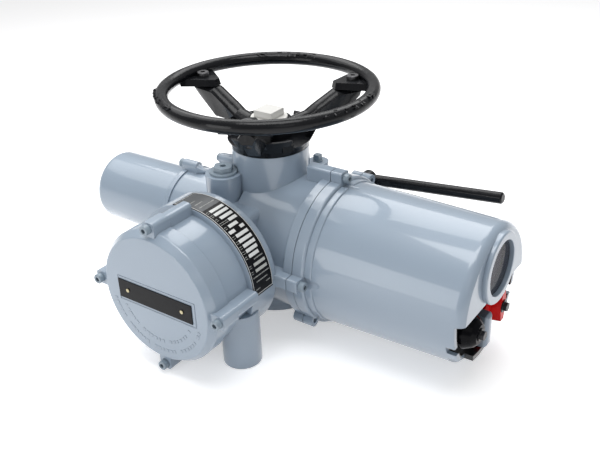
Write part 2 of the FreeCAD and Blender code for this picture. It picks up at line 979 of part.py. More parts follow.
def tooth_flank(teeth):
    """Half angle of a tooth at some radii, from the root to the tip."""
    pitch = float(gear_pitch_radius(teeth))
    base = pitch * math.cos(PRESSURE_ANGLE)
    root = float(gear_root_radius(teeth))
    tip = float(gear_tip_radius(teeth))
    half = math.pi / (2 * teeth) - float(S.tooth_backlash) / (2 * pitch) + involute(PRESSURE_ANGLE)
    low = max(base, root)
    radii = [low + (tip - low) * i / FLANK_STEPS for i in range(FLANK_STEPS + 1)]
    flank = [(radius, half - involute(math.acos(min(1, base / radius)))) for radius in radii]
    return [(root, flank[0][1] + ROOT_SPREAD)] + flank if root < base else flank


def tooth_ring(teeth, first_angle):
    """The closed outline of a toothed wheel, with one tooth centred at the first angle."""
    corners = []
    flank = tooth_flank(teeth)
    for i in range(teeth):
        centre = math.radians(first_angle) + 2 * math.pi * i / teeth
        for radius, half in flank:
            corners.append(polar(radius, centre - half))
        for radius, half in reversed(flank):
            corners.append(polar(radius, centre + half))
    return Part.Face(Part.makePolygon(corners + corners[:1]))


def polar(radius, angle, height=0.0):
    return FreeCAD.Vector(radius * math.cos(angle), radius * math.sin(angle), height)


def spur_gear(name, teeth, first_angle, bore, x, y):
    blank = tooth_ring(teeth, first_angle).extrude(FreeCAD.Vector(0, 0, S.gear_width))
    wheel = fixed(name + "_teeth", blank)
    hole = cylinder(name + "_bore", bore, S.gear_width)
    return put(cut(name + "_wheel", wheel, hole), x, y, S.shaft_height, "x")


def lead_angle():
    return math.atan(float(S.gear_module) / (2 * float(worm_pitch_radius())))


def worm_wheel():
    """Teeth that lean with the worm's thread, standing on a keyed rim."""
    width = float(S.wheel_width)
    root = float(gear_root_radius(WHEEL_TEETH))
    flank = tooth_flank(WHEEL_TEETH)
    gap = 2 * math.pi / WHEEL_TEETH
    teeth = []
    for i in range(WHEEL_TEETH):
        centre = math.pi / 2 + gap * i + gap / 2
        lean = FreeCAD.Vector(-math.sin(centre), math.cos(centre), 0) * math.tan(lead_angle())
        corners = [polar(root - ROOT_OVERLAP, centre - flank[0][1])]
        corners += [polar(radius, centre - half) for radius, half in flank]
        corners += [polar(radius, centre + half) for radius, half in reversed(flank)]
        corners.append(polar(root - ROOT_OVERLAP, centre + flank[0][1]))
        foot = [corner - lean * (width / 2) for corner in corners]
        face = Part.Face(Part.makePolygon(foot + foot[:1]))
        teeth.append(face.extrude((FreeCAD.Vector(0, 0, 1) + lean) * width))
    rim = Part.makeCylinder(root, width)
    crown = fixed("wheel_crown", rim.fuse(teeth).removeSplitter())
    hole = cylinder("wheel_bore", S.sleeve_radius, S.wheel_width)
    keyway = box("wheel_keyway", (S.sleeve_radius - 4, -3, 0), (S.sleeve_radius + 2, 3, S.wheel_width))
    wheel = cut("worm_wheel_cut", crown, hole, keyway)
    return node(put(wheel, 0, 0, S.shaft_height - S.wheel_width / 2), "worm_wheel")


def worm():
    """A single-start worm cut in one piece with its stepped shaft."""
    pitch = math.pi * float(S.gear_module)
    radius = float(worm_pitch_radius())
    slope = math.tan(PRESSURE_ANGLE)
    tip = float(S.worm_tip)
    foot = radius - DEDENDUM * float(S.gear_module)
    half = pitch / 4 - float(S.tooth_backlash) / 2
    turns = WORM_TURNS
    low = [(foot - ROOT_OVERLAP, half + (radius - foot + ROOT_OVERLAP) * slope),
           (tip, half - (tip - radius) * slope)]
    outline = [FreeCAD.Vector(r, 0, -w) for r, w in low] + [FreeCAD.Vector(r, 0, w) for r,
                                                            w in reversed(low)]
    helix = Part.makeHelix(pitch, pitch * turns, radius)
    thread = Part.Wire(helix).makePipeShell([Part.makePolygon(outline + outline[:1])], True, True)
    thread.translate(FreeCAD.Vector(0, 0, -pitch * turns / 2))
    core = Part.makeCylinder(foot, pitch * turns + 6, FreeCAD.Vector(0, 0, -pitch * turns / 2 - 3))
    shaft = cylinder("worm_shaft", S.worm_shaft_radius, S.worm_shaft_end - worm_start(), 0, 0, worm_start())
    threaded = fixed("worm_thread", core.fuse(thread))
    whole = fuse("worm_whole", threaded, shaft)
    return node(put(whole, 0, gear_centre(), S.shaft_height, "x"), "worm")


def gear_train():
    worm()
    worm_wheel()
    gear_start = -S.motor_seam + S.gear_start
    gap_turn = 270 + 180 / GEAR_TEETH
    node(spur_gear("worm_gear", GEAR_TEETH, gap_turn, S.worm_shaft_radius, gear_start, gear_centre()),
         "worm_shaft_gear")
    node(spur_gear("pinion", PINION_TEETH, 90, S.motor_shaft_radius, gear_start, 0), "motor_pinion")
    bearings = []
    for name, start in (("worm_bearing_a", -S.motor_seam + S.worm_bearing_start),
                        ("worm_bearing_b", S.worm_bearing_end)):
        bearings.append(ring(name, S.worm_bearing_radius, S.worm_shaft_radius + S.run_gap,
                             S.worm_bearing_width,
                             start, gear_centre(), S.shaft_height, "x"))
    node(group("worm_bearing_pair", *bearings), "worm_bearings")


# Thrust base and output column

def base_bolt_radius():
    """The base is screwed into the middle of the drum's wall."""
    return S.drum_radius - S.drum_wall / 2


def thrust_base():
    """A valve flange with a bearing spigot, made as a turned body with patterned holes."""
    body = doc.addObject("PartDesign::Body", "thrust_base_body")
    top = case_floor() + S.spigot_height
    spigot = S.drum_radius - S.drum_wall - S.seat_gap
    outline = [
        (S.sleeve_radius + 2, S.recess_depth),
        (S.recess_radius, S.recess_depth),
        (S.recess_radius, 0),
        (S.flange_radius, 0),
        (S.flange_radius, S.flange_thick),
        (S.drum_radius, S.flange_thick),
        (S.drum_radius, case_floor()),
        (spigot, case_floor()),
        (spigot, top),
        (S.lower_bearing_radius, top),
        (S.lower_bearing_radius, S.lower_bearing_seat),
        (S.sleeve_radius + 2, S.lower_bearing_seat),
    ]
    sketch = profile(body, "base_outline", outline)
    turn = body.newObject("PartDesign::Revolution", "base_turn")
    turn.Profile = sketch
    turn.ReferenceAxis = (sketch, ["V_Axis"])
    turn.Angle = 360
    doc.recompute()
    plane = next(part for part in body.Origin.OriginFeatures if part.Role == "XY_Plane")
    for name, radius, reach, start, deep in (
        ("valve_hole", S.flange_hole_radius, S.flange_pitch_radius, 45, S.flange_thick),
        ("screw_hole", S.base_screw_radius + S.screw_play, base_bolt_radius(), 0, case_floor()),
        ("screw_head", S.base_screw_head + S.screw_play, base_bolt_radius(), 0,
         S.flange_thick + S.base_screw_sink),
    ):
        hole = body.newObject("Sketcher::SketchObject", name)
        hole.AttachmentSupport = [(plane, "")]
        hole.MapMode = "FlatFace"
        turn_angle = math.radians(start)
        centre = FreeCAD.Vector(reach * math.cos(turn_angle), reach * math.sin(turn_angle), 0)
        hole.addGeometry(Part.Circle(centre, FreeCAD.Vector(0, 0, 1), float(radius)), False)
        number = hole.addConstraint(Sketcher.Constraint("Radius", 0, float(radius)))
        hole.setExpression("Constraints[%d]" % number, radius.formula)
        for kind, share in (("DistanceX", math.cos(turn_angle)), ("DistanceY", math.sin(turn_angle))):
            if abs(share) < 1e-9:
                hole.addConstraint(Sketcher.Constraint("PointOnObject", 0, 3, -1))
                continue
            number = hole.addConstraint(Sketcher.Constraint(kind, -1, 1, 0, 3, float(reach) * share))
            hole.setExpression("Constraints[%d]" % number, (reach * share).formula)
        pocket = body.newObject("PartDesign::Pocket", name + "_cut")
        pocket.Profile = hole
        pocket.Reversed = True
        bind(pocket, Length=deep)
        doc.recompute()
        pattern = body.newObject("PartDesign::PolarPattern", name + "_pattern")
        pattern.Originals = [pocket]
        pattern.Axis = (sketch, ["V_Axis"])
        pattern.Angle = 360
        pattern.Occurrences = 4
        body.Tip = pattern
        doc.recompute()
    return node(body, "thrust_base")


def base_screws():
    screws = []
    for i, (across, up) in enumerate(around(4, 0, base_bolt_radius())):
        foot = S.flange_thick + S.screw_sunk
        shank = cylinder("base_shank%d_" % i, S.base_screw_radius, S.base_plate_thick + S.base_screw_grip,
                         across, up, foot)
        head = cylinder("base_head%d_" % i, S.base_screw_head, S.base_screw_sink - S.screw_sunk, across,
                        up, foot)
        screws.append(fuse("base_screw%d_" % i, shank, head))
    node(group("base_screw_set", *screws), "base_screws")


def output_column():
    tall = clutch_low() + S.clutch_height + S.sleeve_rise
    bush_room = S.bush_length + S.part_gap
    outline = [
        (S.bush_radius, S.sleeve_foot),
        (S.sleeve_radius, S.sleeve_foot),
        (S.sleeve_radius, tall),
        (S.sleeve_bore, tall),
        (S.sleeve_bore, S.sleeve_foot + bush_room),
        (S.bush_radius, S.sleeve_foot + bush_room),
    ]
    sleeve = turned("sleeve_body", outline)
    low = S.shaft_height - S.wheel_width / 2
    keyway = box("sleeve_keyway", (S.sleeve_radius - 4, -3, low),
                 (S.sleeve_radius + 1, 3, low + S.wheel_width))
    node(cut("sleeve_cut", sleeve, keyway), "output_sleeve")
    node(box("key_block", (S.sleeve_radius - 4, -3, low), (S.sleeve_radius + 2, 3, low + S.wheel_width)),
         "wheel_key")
    node(ring("bush_body", S.bush_radius, S.bush_bore, S.bush_length, 0, 0, S.sleeve_foot), "drive_bush")
    lower = ring("lower_bearing", S.lower_bearing_radius, S.sleeve_radius + S.run_gap, S.bearing_height,
                 0, 0, S.lower_bearing_seat)
    upper = ring("upper_bearing", S.upper_bearing_radius, S.sleeve_radius + S.run_gap, S.bearing_height,
                 0, 0, shelf_low() + 2)
    node(group("sleeve_bearing_pair", lower, upper), "sleeve_bearings")


def dogs(name, inner, outer, low, high, first):
    """Clutch dogs: four sectors of a ring."""
    blocks = []
    whole = ring(name + "_ring", outer, inner, high - low, 0, 0, low)
    for i in range(DOG_COUNT):
        start = FreeCAD.Rotation(FreeCAD.Vector(0, 0, 1), first + 360 / DOG_COUNT * i)
        sector = bind(doc.addObject("Part::Cylinder", name + "_sector%d_" % i), Radius=outer + 1,
                      Height=high - low)
        sector.Angle = DOG_ANGLE
        blocks.append(put(sector, 0, 0, low, start))
    return common(name, whole, fuse(name + "_sectors", *blocks))


def clutch():
    low = clutch_low()
    high = low + S.clutch_height
    middle = low + S.clutch_height / 2
    groove = S.fork_thick / 2 + S.part_gap
    outline = [
        (S.sleeve_radius + S.run_gap, low),
        (S.clutch_radius, low),
        (S.clutch_radius, middle - groove),
        (S.clutch_radius - S.groove_depth, middle - groove),
        (S.clutch_radius - S.groove_depth, middle + groove),
        (S.clutch_radius, middle + groove),
        (S.clutch_radius, high),
        (S.sleeve_radius + S.run_gap, high),
    ]
    body = turned("clutch_body", outline)
    teeth = dogs("clutch_dogs", S.sleeve_radius + 2, S.clutch_radius, high - 1, high + S.dog_height,
                 DOG_START)
    node(fuse("clutch_whole", body, teeth), "clutch_ring")


def clutch_fork():
    """A yoke in the clutch groove, with one slotted ear for the lever's crank pin."""
    low = clutch_low() + S.clutch_height / 2 - S.fork_thick / 2
    inner = S.clutch_radius - S.groove_depth + S.part_gap
    yoke = ring("yoke_ring", S.clutch_room_radius - 4, inner, S.fork_thick, 0, 0, low)
    half = box("yoke_half", (0, -S.clutch_room_radius, low),
               (S.clutch_room_radius, S.clutch_room_radius, low + S.fork_thick))
    front = common("yoke_front", yoke, half)
    ear_x = S.lever_offset - S.crank_length
    arm = box("yoke_arm", (inner + 3, -S.ear_half, low),
              (ear_x + S.ear_front, S.ear_half, low + S.fork_thick))
    ear = box("yoke_ear", (ear_x - S.ear_half, S.ear_side, low),
              (ear_x + S.ear_front, S.ear_side + S.ear_thick, S.lever_height + 6))
    slot = S.crank_pin_radius + S.pin_play
    slit = box("ear_slot", (ear_x - S.slot_back, S.ear_side - 1, S.lever_height - slot),
               (ear_x + S.slot_front, S.ear_side + S.ear_thick + 1, S.lever_height + slot))
    guide = cylinder("guide_hole", S.guide_radius + S.run_gap, S.fork_thick, S.guide_offset, 0, low)
    node(cut("fork_cut", fuse("fork_whole", front, arm, ear), slit, guide), "clutch_fork")
    floor = shelf_low() + S.shelf_thick
    node(cylinder("guide_pin", S.guide_radius, clutch_room_top() - floor + S.guide_rise, S.guide_offset, 0,
                  floor + 1),
         "fork_guide_pin")


def lever():
    """The hand and auto lever: rod, hub, shaft and crank."""
    start = lever_hub_start()
    shaft = cylinder("lever_shaft_bar", S.lever_shaft_radius, S.lever_reach + 2 * S.lever_shaft_tail,
                     S.lever_offset, -S.lever_shaft_tail,
                     S.lever_height, "y")
    crank_hub = cylinder("crank_hub", S.lever_shaft_radius + S.crank_half, 2 * S.crank_half,
                         S.lever_offset, -S.crank_half,
                         S.lever_height, "y")
    crank_arm = box("crank_arm", (S.lever_offset - S.crank_length - S.crank_tip, -S.crank_half,
                     S.lever_height - S.crank_half),
                    (S.lever_offset, S.crank_half, S.lever_height + S.crank_half))
    crank_pin = cylinder("crank_pin", S.crank_pin_radius, S.crank_pin_length,
                         S.lever_offset - S.crank_length, -S.crank_half,
                         S.lever_height, "y")
    crank = fuse("crank_whole", crank_hub, crank_arm, crank_pin)
    hole = cylinder("crank_hole", S.lever_shaft_radius, 2 * S.crank_half, S.lever_offset, -S.crank_half,
                    S.lever_height, "y")
    node(shaft, "lever_shaft")
    node(cut("crank_cut", crank, hole), "lever_crank")
    hub = turned("lever_hub_body", [
        (S.lever_shaft_radius, 0),
        (S.lever_hub_radius, 0),
        (S.lever_hub_radius, S.lever_hub_width - 2),
        (S.lever_hub_radius - 2, S.lever_hub_width),
        (S.lever_shaft_radius, S.lever_hub_width),
    ], (), S.lever_offset, start, S.lever_height, "y")
    tilt = FreeCAD.Rotation(FreeCAD.Vector(0, 1, 0), 90 - LEVER_RISE)
    rod = turned("lever_rod_body", [
        (0, S.lever_hub_radius - 2),
        (S.lever_rod_radius, S.lever_hub_radius - 2),
        (S.lever_rod_radius, S.lever_length - 2),
        (S.lever_rod_radius - 2, S.lever_length),
        (0, S.lever_length),
    ])
    put(rod, S.lever_offset, S.lever_reach, S.lever_height, tilt)
    node(fuse("lever_whole", hub, rod), "lever_arm")


# Handwheel

def rib_section(radius, low, high, width):
    """A rounded-top rib section that stands across the arm at one radius."""
    half = width / 2
    foot = half * RIB_FOOT
    shoulder = high - half * RIB_SHOULDER
    corner = FreeCAD.Vector
    lines = [
        Part.LineSegment(corner(radius, -foot, low), corner(radius, foot, low)),
        Part.LineSegment(corner(radius, foot, low), corner(radius, half, shoulder)),
        Part.Arc(corner(radius, half, shoulder), corner(radius, 0, high), corner(radius, -half, shoulder)),
        Part.LineSegment(corner(radius, -half, shoulder), corner(radius, -foot, low)),
    ]
    return Part.Wire([line.toShape() for line in lines])


def arm_shape():
    """One arm, lofted along +X from the hub to its flat bolted foot."""
    foot_top = float(rim_lug_low()) - float(S.part_gap)
    start = float(S.tube_radius) - 2
    bolt = float(S.arm_bolt_radius)
    tip = float(S.rim_lug_tip)
    width = float(S.arm_width)
    base = float(column_top()) + float(S.arm_lift)
    mouth = float(S.hub_mouth_radius)
    hub = float(S.hub_radius)
    top = float(hub_top())
    rise = (foot_top - top) / (tip - hub)
    foot_low = foot_top - float(S.arm_foot_depth)
    middle_low = base + (foot_low - base) * ARM_BEND
    foot_width = float(S.arm_foot_width)
    sections = [
        rib_section(start, base, top - 6, width),
        rib_section(hub, base, top + 2, width),
        rib_section(mouth, middle_low, top + 2 + rise * (mouth - hub), width),
        rib_section(tip, middle_low, foot_top, float(S.arm_tip_width)),
        rib_section(bolt + 3, foot_low, foot_top, foot_width),
        rib_section(bolt + 8, foot_low + 4, foot_top, foot_width - 1),
    ]
    seat = Part.makeCylinder(float(S.rim_bolt_head), float(S.rim_lug_thick), FreeCAD.Vector(bolt, 0,
                             foot_top - float(S.rim_lug_thick)))
    return Part.makeLoft(sections, True, True).fuse(seat)


def lug_shape():
    """The rim's arrowhead lug: a plate that lies on the arm's foot and points at the hub."""
    low = float(rim_lug_low())
    high = low + float(S.rim_lug_thick)
    outer = float(S.wheel_radius) - float(S.rim_thick) / 2
    tip = float(S.rim_lug_tip)
    half = float(S.rim_lug_half)
    nose = float(S.rim_lug_nose)
    inset = float(S.rim_lug_inset)
    corner = FreeCAD.Vector
    upper = [corner(tip, -nose, high), corner(outer, -half, high), corner(outer, half, high),
             corner(tip, nose, high)]
    lower = [corner(tip - 2, -nose - 1, low), corner(outer - inset, -half - 1, low),
             corner(outer - inset, half + 1, low),
             corner(tip - 2, nose + 1, low)]
    wires = [Part.makePolygon(points + points[:1]) for points in (lower, upper)]
    return Part.makeLoft(wires, True, True)


def spin(shape, degrees):
    turned_copy = shape.copy()
    turned_copy.rotate(FreeCAD.Vector(), FreeCAD.Vector(0, 0, 1), degrees)
    return turned_copy


def handwheel():
    rim_radius = S.wheel_radius - S.rim_thick / 2
    torus = bind(doc.addObject("Part::Torus", "rim_tube"), Radius1=rim_radius, Radius2=S.rim_thick / 2)
    put(torus, 0, 0, S.wheel_height)
    bolt = float(S.arm_bolt_radius)
    arms = []
    lugs = []
    holes = []
    for angle in ARM_ANGLES:
        foot_hole = Part.makeCylinder(float(S.bolt_radius), float(S.rim_hole_length),
                                     FreeCAD.Vector(bolt, 0, float(S.wheel_height - S.rim_hole_drop)))
        arms.append(spin(arm_shape(), angle))
        holes.append(spin(foot_hole, angle))
        lugs.append(spin(lug_shape(), angle))
    lug_set = fixed("rim_lugs", Part.makeCompound(lugs))
    hole_set = fixed("rim_holes", Part.makeCompound(holes))
    arm_set = fixed("arm_lofts", Part.makeCompound(arms))
    bowl = turned("hub_bowl", [
        (S.tube_radius, column_top() + S.part_gap),
        (S.hub_radius, column_top() + S.part_gap),
        (S.hub_radius + S.lip_width, column_top() + S.lip_rise),
        (S.hub_mouth_radius, hub_mouth_height()),
        (S.hub_mouth_radius - S.bowl_wall, hub_mouth_height()),
        (S.hub_radius - S.bowl_wall, column_top() + S.bowl_floor),
        (S.hub_boss_radius, column_top() + S.bowl_floor),
        (S.hub_boss_radius, hub_top()),
        (S.tube_radius, hub_top()),
    ])
    windows = []
    reach = float(S.hub_mouth_radius)
    for angle in ARM_ANGLES:
        window = Part.makeBox(reach, reach * 0.7, reach * 0.7,
                              FreeCAD.Vector(float(S.hub_boss_radius) + 10, -reach * 0.35,
                                                         float(column_top()) + float(S.bowl_floor)))
        windows.append(spin(window, angle + HALF_STEP))
    window_set = fixed("hub_windows", Part.makeCompound(windows))
    bore = cylinder("hub_bore", S.tube_radius, S.wheel_height - column_top(), 0, 0, column_top())
    skirt = cut("hub_skirt", bowl, window_set)
    pad = Part.makeBox(float(S.pad_depth), float(S.pad_width), float(S.pad_height), FreeCAD.Vector(
        float(S.hub_radius) - 4, -float(S.pad_width) / 2, float(column_top()) + float(S.pad_height)))
    hub = fuse("hub_and_arms", skirt, arm_set, fixed("hub_pad", spin(pad, PAD_ANGLE)))
    node(cut("hub_cut", hub, bore, hole_set), "handwheel_hub")
    rim = fuse("rim_whole", torus, lug_set)
    node(cut("rim_bored", rim, fixed("rim_bolt_holes", hole_set.Shape.copy())), "handwheel_rim")
    bolts = []
    for i, angle in enumerate(ARM_ANGLES):
        turn = math.radians(angle)
        bolts.append(socket_screw("rim_bolt%d_" % i, S.rim_lug_thick + S.rim_bolt_grip,
                                  S.arm_bolt_radius * math.cos(turn),
                                  S.arm_bolt_radius * math.sin(turn), rim_lug_low() + S.rim_lug_thick, "z",
                                  S.rim_bolt_head, S.rim_bolt_height))
    node(group("rim_bolt_set", *bolts), "rim_bolts")
    foot = clutch_low() + S.clutch_height + S.clutch_travel + S.dog_height + 1
    flange = [
        (S.tube_bore, foot),
        (S.clutch_radius, foot),
        (S.clutch_radius, foot + S.tube_flange),
        (S.tube_radius, foot + S.tube_flange),
        (S.tube_radius, hub_top() - 4),
        (S.tube_bore, hub_top() - 4),
    ]
    tube = turned("tube_body", flange)
    teeth = dogs("tube_dogs", S.sleeve_radius + 2, S.clutch_radius, foot - S.dog_height, foot + 1,
                 DOG_START + 180 / DOG_COUNT)
    node(fuse("tube_whole", tube, teeth), "drive_tube")
    seat = column_top() - S.column_seat_depth
    node(ring("column_bearing_ring", S.column_seat_radius, S.tube_radius + S.run_gap,
              S.column_bearing_height, 0, 0, seat),
         "column_bearing")
    node(ring("column_seal_ring", S.column_seat_radius, S.tube_radius + S.run_gap, S.seal_height, 0, 0,
              seat + S.seal_rise),
         "column_seal")
    disc = cylinder("cap_disc", S.tube_radius + 1, 3, 0, 0, hub_top())
    half = S.cap_side / 2
    block = box("cap_block", (-half, -half, hub_top() + 3), (half, half, hub_top() + S.cap_height))
    node(fuse("cap_whole", disc, block), "hub_cap")


# Motor

def motor():
    seam = S.motor_seam
    can = turned("motor_can", [
        (S.motor_radius - S.motor_wall, seam),
        (S.case_radius + 2, seam),
        (S.case_radius + 2, seam + S.can_flange),
        (S.motor_radius + 1, seam + S.can_flange),
        (S.motor_radius, S.motor_end),
        (0, S.motor_end),
        (0, S.motor_end - S.rear_wall),
        (S.rotor_bearing_radius, S.motor_end - S.rear_wall),
        (S.rotor_bearing_radius, S.motor_end - S.rear_wall - S.rotor_bearing_width),
        (S.rotor_bearing_radius + S.motor_wall, S.motor_end - S.rear_wall - S.rotor_bearing_width),
        (S.rotor_bearing_radius + S.motor_wall, S.motor_end - S.can_flange),
        (S.motor_radius - S.motor_wall, S.motor_end - S.can_flange),
    ], ((S.can_round, (4,)), (2, (2,))), 0, 0, S.shaft_height, "-x")
    lugs = []
    holes = []
    screws = []
    for i, (across, up) in enumerate(around(4, 0, S.motor_bolt_radius)):
        lugs += motor_lug("can_lug%d_" % i, across, up, -seam - S.can_lug_length, -seam)
        holes.append(cylinder("can_hole%d_" % i, S.bolt_radius, 2 * S.can_lug_length, -seam, across,
                              S.shaft_height + up, "-x"))
        screws.append(socket_screw("motor_screw%d_" % i, S.motor_screw_length, -seam - S.can_lug_length,
                                   across,
                                   S.shaft_height + up, "-x"))
    inside = cylinder("can_inside", S.motor_radius - S.motor_wall, 2 * S.can_lug_length, -seam, 0,
                      S.shaft_height, "-x")
    node(cut("can_cut", fuse("can_whole", can, *lugs), inside, *holes), "motor_cover")
    node(group("motor_screw_set", *screws), "motor_screws")
    shield_radius = S.case_radius - S.case_wall
    node(ring("end_shield_ring", shield_radius, S.rotor_bearing_radius, S.rotor_bearing_width, -seam, 0,
              S.shaft_height, "x"),
         "motor_end_shield")
    bearings = []
    for name, start in (("rotor_bearing_a", -seam), ("rotor_bearing_b", -S.motor_end + S.rear_wall)):
        bearings.append(ring(name, S.rotor_bearing_radius, S.motor_shaft_radius + S.run_gap,
                             S.rotor_bearing_width, start, 0, S.shaft_height, "x"))
    node(group("rotor_bearing_pair", *bearings), "rotor_bearings")
    core = ring("stator_ring", S.motor_radius - S.motor_wall, S.rotor_radius + 1,
                S.stator_back - S.stator_front,
                -S.stator_back, 0, S.shaft_height, "x")
    node(core, "stator_core")
    coils = []
    for name, start in (("coil_a", -S.stator_back - S.coil_length), ("coil_b", -S.stator_front)):
        coils.append(turned(name, [
            (S.rotor_radius + S.coil_gap, 0),
            (S.motor_radius - S.motor_wall - S.coil_gap, 0),
            (S.motor_radius - S.motor_wall - S.coil_gap, S.coil_length),
            (S.rotor_radius + S.coil_gap, S.coil_length),
        ], (), start, 0, S.shaft_height, "x"))
    node(group("coil_pair", *coils), "stator_windings")
    node(ring("rotor_ring", S.rotor_radius, S.motor_shaft_radius, S.stator_back - S.stator_front,
              -S.stator_back, 0, S.shaft_height, "x"), "rotor_core")
    node(cylinder("motor_shaft_bar", S.motor_shaft_radius,
                  S.motor_end - seam - S.motor_shaft_tail + S.motor_shaft_nose,
                  -S.motor_end + S.motor_shaft_tail, 0,
                  S.shaft_height, "x"), "motor_shaft")


# Control cover with window and selectors

def control_cover():
    start = S.control_seam + S.gasket_thick
    inner = S.control_cavity_radius
    shell = turned("cover_shell", [
        (0, start),
        (S.control_flange_radius, start),
        (S.control_flange_radius, S.cover_flange_end),
        (S.cover_step_radius, S.cover_flange_end),
        (S.cover_step_radius, S.cover_step_end),
        (S.cover_radius, S.cover_step_end),
        (S.cover_nose_radius, S.cover_end),
        (0, S.cover_end),
    ], ((S.cover_shoulder, (6,)), (3, (2,)), (S.step_round, (4,))), 0, 0, S.control_height, "x")
    lugs = []
    holes = []
    screws = []
    scallops = []
    for i, (across, up) in enumerate(control_places()):
        z = S.control_height + up
        reach = S.scallop_radius if i < 3 else S.low_scallop_radius
        scallops.append(cylinder("scallop%d_" % i, reach, S.scallop_end - S.cover_flange_end,
                                 S.cover_flange_end, across, z, "x"))
        scallops.append(sphere("scallop_end%d_" % i, reach, S.scallop_end, across, z))
        holes.append(cylinder("cover_hole%d_" % i, S.bolt_radius, S.cover_hole_length, start, across, z,
                              "x"))
        screws.append(socket_screw("control_screw%d_" % i, S.control_screw_length, S.cover_flange_end,
                                    across, z, "x"))
    jacks = []
    for i, (across, up) in enumerate(around(2, 45, S.jack_bolt_radius)):
        z = S.control_height + up
        holes.append(cylinder("jack_hole%d_" % i, S.bolt_radius, S.cover_hole_length, start, across, z,
                              "x"))
        jack = cylinder("jack_body%d_" % i, S.bolt_radius, S.jack_lug_end - start - 3, start + S.screw_sunk,
                        across, z, "x")
        socket = prism("jack_key%d_" % i, 6, S.bolt_radius * KEY_SHARE, 6, S.jack_lug_end - 7,
                       across, z, "x")
        jacks.append(cut("jack_screw%d_" % i, jack, socket))
    lugs += control_lugs("cover_lug", start, S.cover_flange_end)
    lugs += jack_lugs("jack_lug", start, S.jack_lug_end)
    hood = cylinder("window_hood", S.window_ring_radius, S.hood_length,
                    S.cover_end - S.hood_length - S.face_recess, 0,
                    S.window_height, "x")
    web = box("knob_web", (knob_room_back() - 3, -S.web_half, S.web_low),
              (web_front(), S.web_half, S.web_high))
    web = rounded("knob_web_round", web, 6, lambda e: abs(e.BoundBox.XMin - web_front()) < 0.01)
    roof = S.chord_height
    big = 2 * S.cover_radius
    room = common("knob_room", cylinder("knob_room_round", inner, S.cover_end, knob_room_back(), 0,
                                        S.control_height, "x"),
                  box("knob_room_low", (knob_room_back(), -big, -big), (S.cover_end + big, big, roof)))
    front_low = box("front_low", (skin_front(), -big, -big), (S.cover_end + big, big, roof))
    skin_notch = box("skin_notch", (skin_front() - S.notch_depth, -big, S.notch_low),
                     (S.cover_end + big, big, S.notch_high))
    chin_room = box("chin_room", (S.cover_end - S.chin_depth, -S.chin_half, -big),
                    (S.cover_end + big, S.chin_half, S.chin_high))
    tongue = box("chin_tongue", (knob_room_back(), -S.tongue_half, -big),
                 (S.cover_end - S.tongue_setback, S.tongue_half, S.web_low))
    chin = cut("chin_cut", chin_room, tongue)
    cored = cylinder("cover_core", inner, knob_room_back() - 6 - start, start, 0, S.control_height, "x")
    upper_core = common("cover_upper_core",
                        cylinder("upper_core_round", inner - 2, S.cover_end - S.face_wall - start, start, 0,
                                 S.control_height, "x"),
                        box("upper_core_box", (start, -big, roof + S.shelf_wall),
                            (S.cover_end, big, roof + big)))
    face = common("face_recess",
                  cylinder("face_round", S.face_radius, big, S.cover_end - S.face_recess, 0,
                           S.control_height, "x"),
                  box("face_box", (S.cover_end - S.face_wall, -big, S.control_height - big),
                      (S.cover_end + big, big, roof + big)))
    hole = cylinder("window_hole", S.window_radius + 2, big, S.cover_end - S.hood_length, 0,
                    S.window_height, "x")
    blank = cut("cover_blank", fuse("cover_lugged", shell, *lugs), room, front_low, skin_notch, chin, face,
                *scallops)
    cored_cover = cut("cover_cored", fuse("cover_fused", blank, hood, common("web_kept", web, cylinder(
        "web_round", S.cover_nose_radius, S.cover_end, S.control_seam, 0, S.control_height, "x"))),
        cored, upper_core, hole, *holes, *knob_holes())
    node(cored_cover, "control_cover")
    node(group("control_screw_set", *screws), "control_screws")
    node(group("jack_screw_pair", *jacks), "jack_screws")
    gasket = ring("control_gasket_ring", S.control_flange_radius - 2, inner, S.gasket_thick, S.control_seam,
                  0, S.control_height, "x")
    gasket_hole = cylinder("gasket_hole", S.bolt_radius + S.part_gap, S.gasket_thick, S.control_seam, 0,
                           S.control_height - S.control_low_bolt_radius, "x")
    node(cut("control_gasket_cut", gasket, gasket_hole), "control_gasket")


def knob_holes():
    holes = []
    for i, side in enumerate((-1, 1)):
        holes.append(cylinder("knob_hole%d_" % i, S.knob_shaft_radius + S.run_gap, S.knob_hole_length,
                              knob_room_back() - S.knob_hole_back,
                              side * S.knob_spread, S.knob_height, "x"))
    return holes


def window():
    front = S.cover_end - S.face_recess
    node(turned("window_ring_body", [
        (S.window_radius, 0),
        (S.window_ring_radius, 0),
        (S.window_ring_radius, S.window_ring_thick),
        (S.window_radius, S.window_ring_thick),
    ], ((S.ring_round, (2,)), (1, (3,))), front, 0, S.window_height, "x"), "window_ring")
    node(cylinder("glass_disc", S.window_radius + 2 - S.seat_gap, S.glass_thick, front - S.glass_thick, 0,
                  S.window_height, "x"), "window_glass")
    back = front - S.glass_thick
    node(cylinder("display_disc", S.window_radius - 2, S.display_thick, back - S.display_depth, 0,
                  S.window_height, "x"),
         "display_panel")
    board = box("board_plate", (back - S.display_depth - S.board_thick, -S.board_half,
                                S.chord_height + S.board_low),
                (back - S.display_depth, S.board_half, S.chord_height + S.board_half))
    node(board, "display_board")
    pillars = []
    for i, side in enumerate((-1, 1)):
        pillars.append(cylinder("pillar%d_" % i, S.pillar_radius, S.cover_end - back,
                                back - S.display_depth, side * S.pillar_spread,
                                S.chord_height + S.pillar_rise, "x"))
    node(group("pillar_pair", *pillars), "display_pillars")


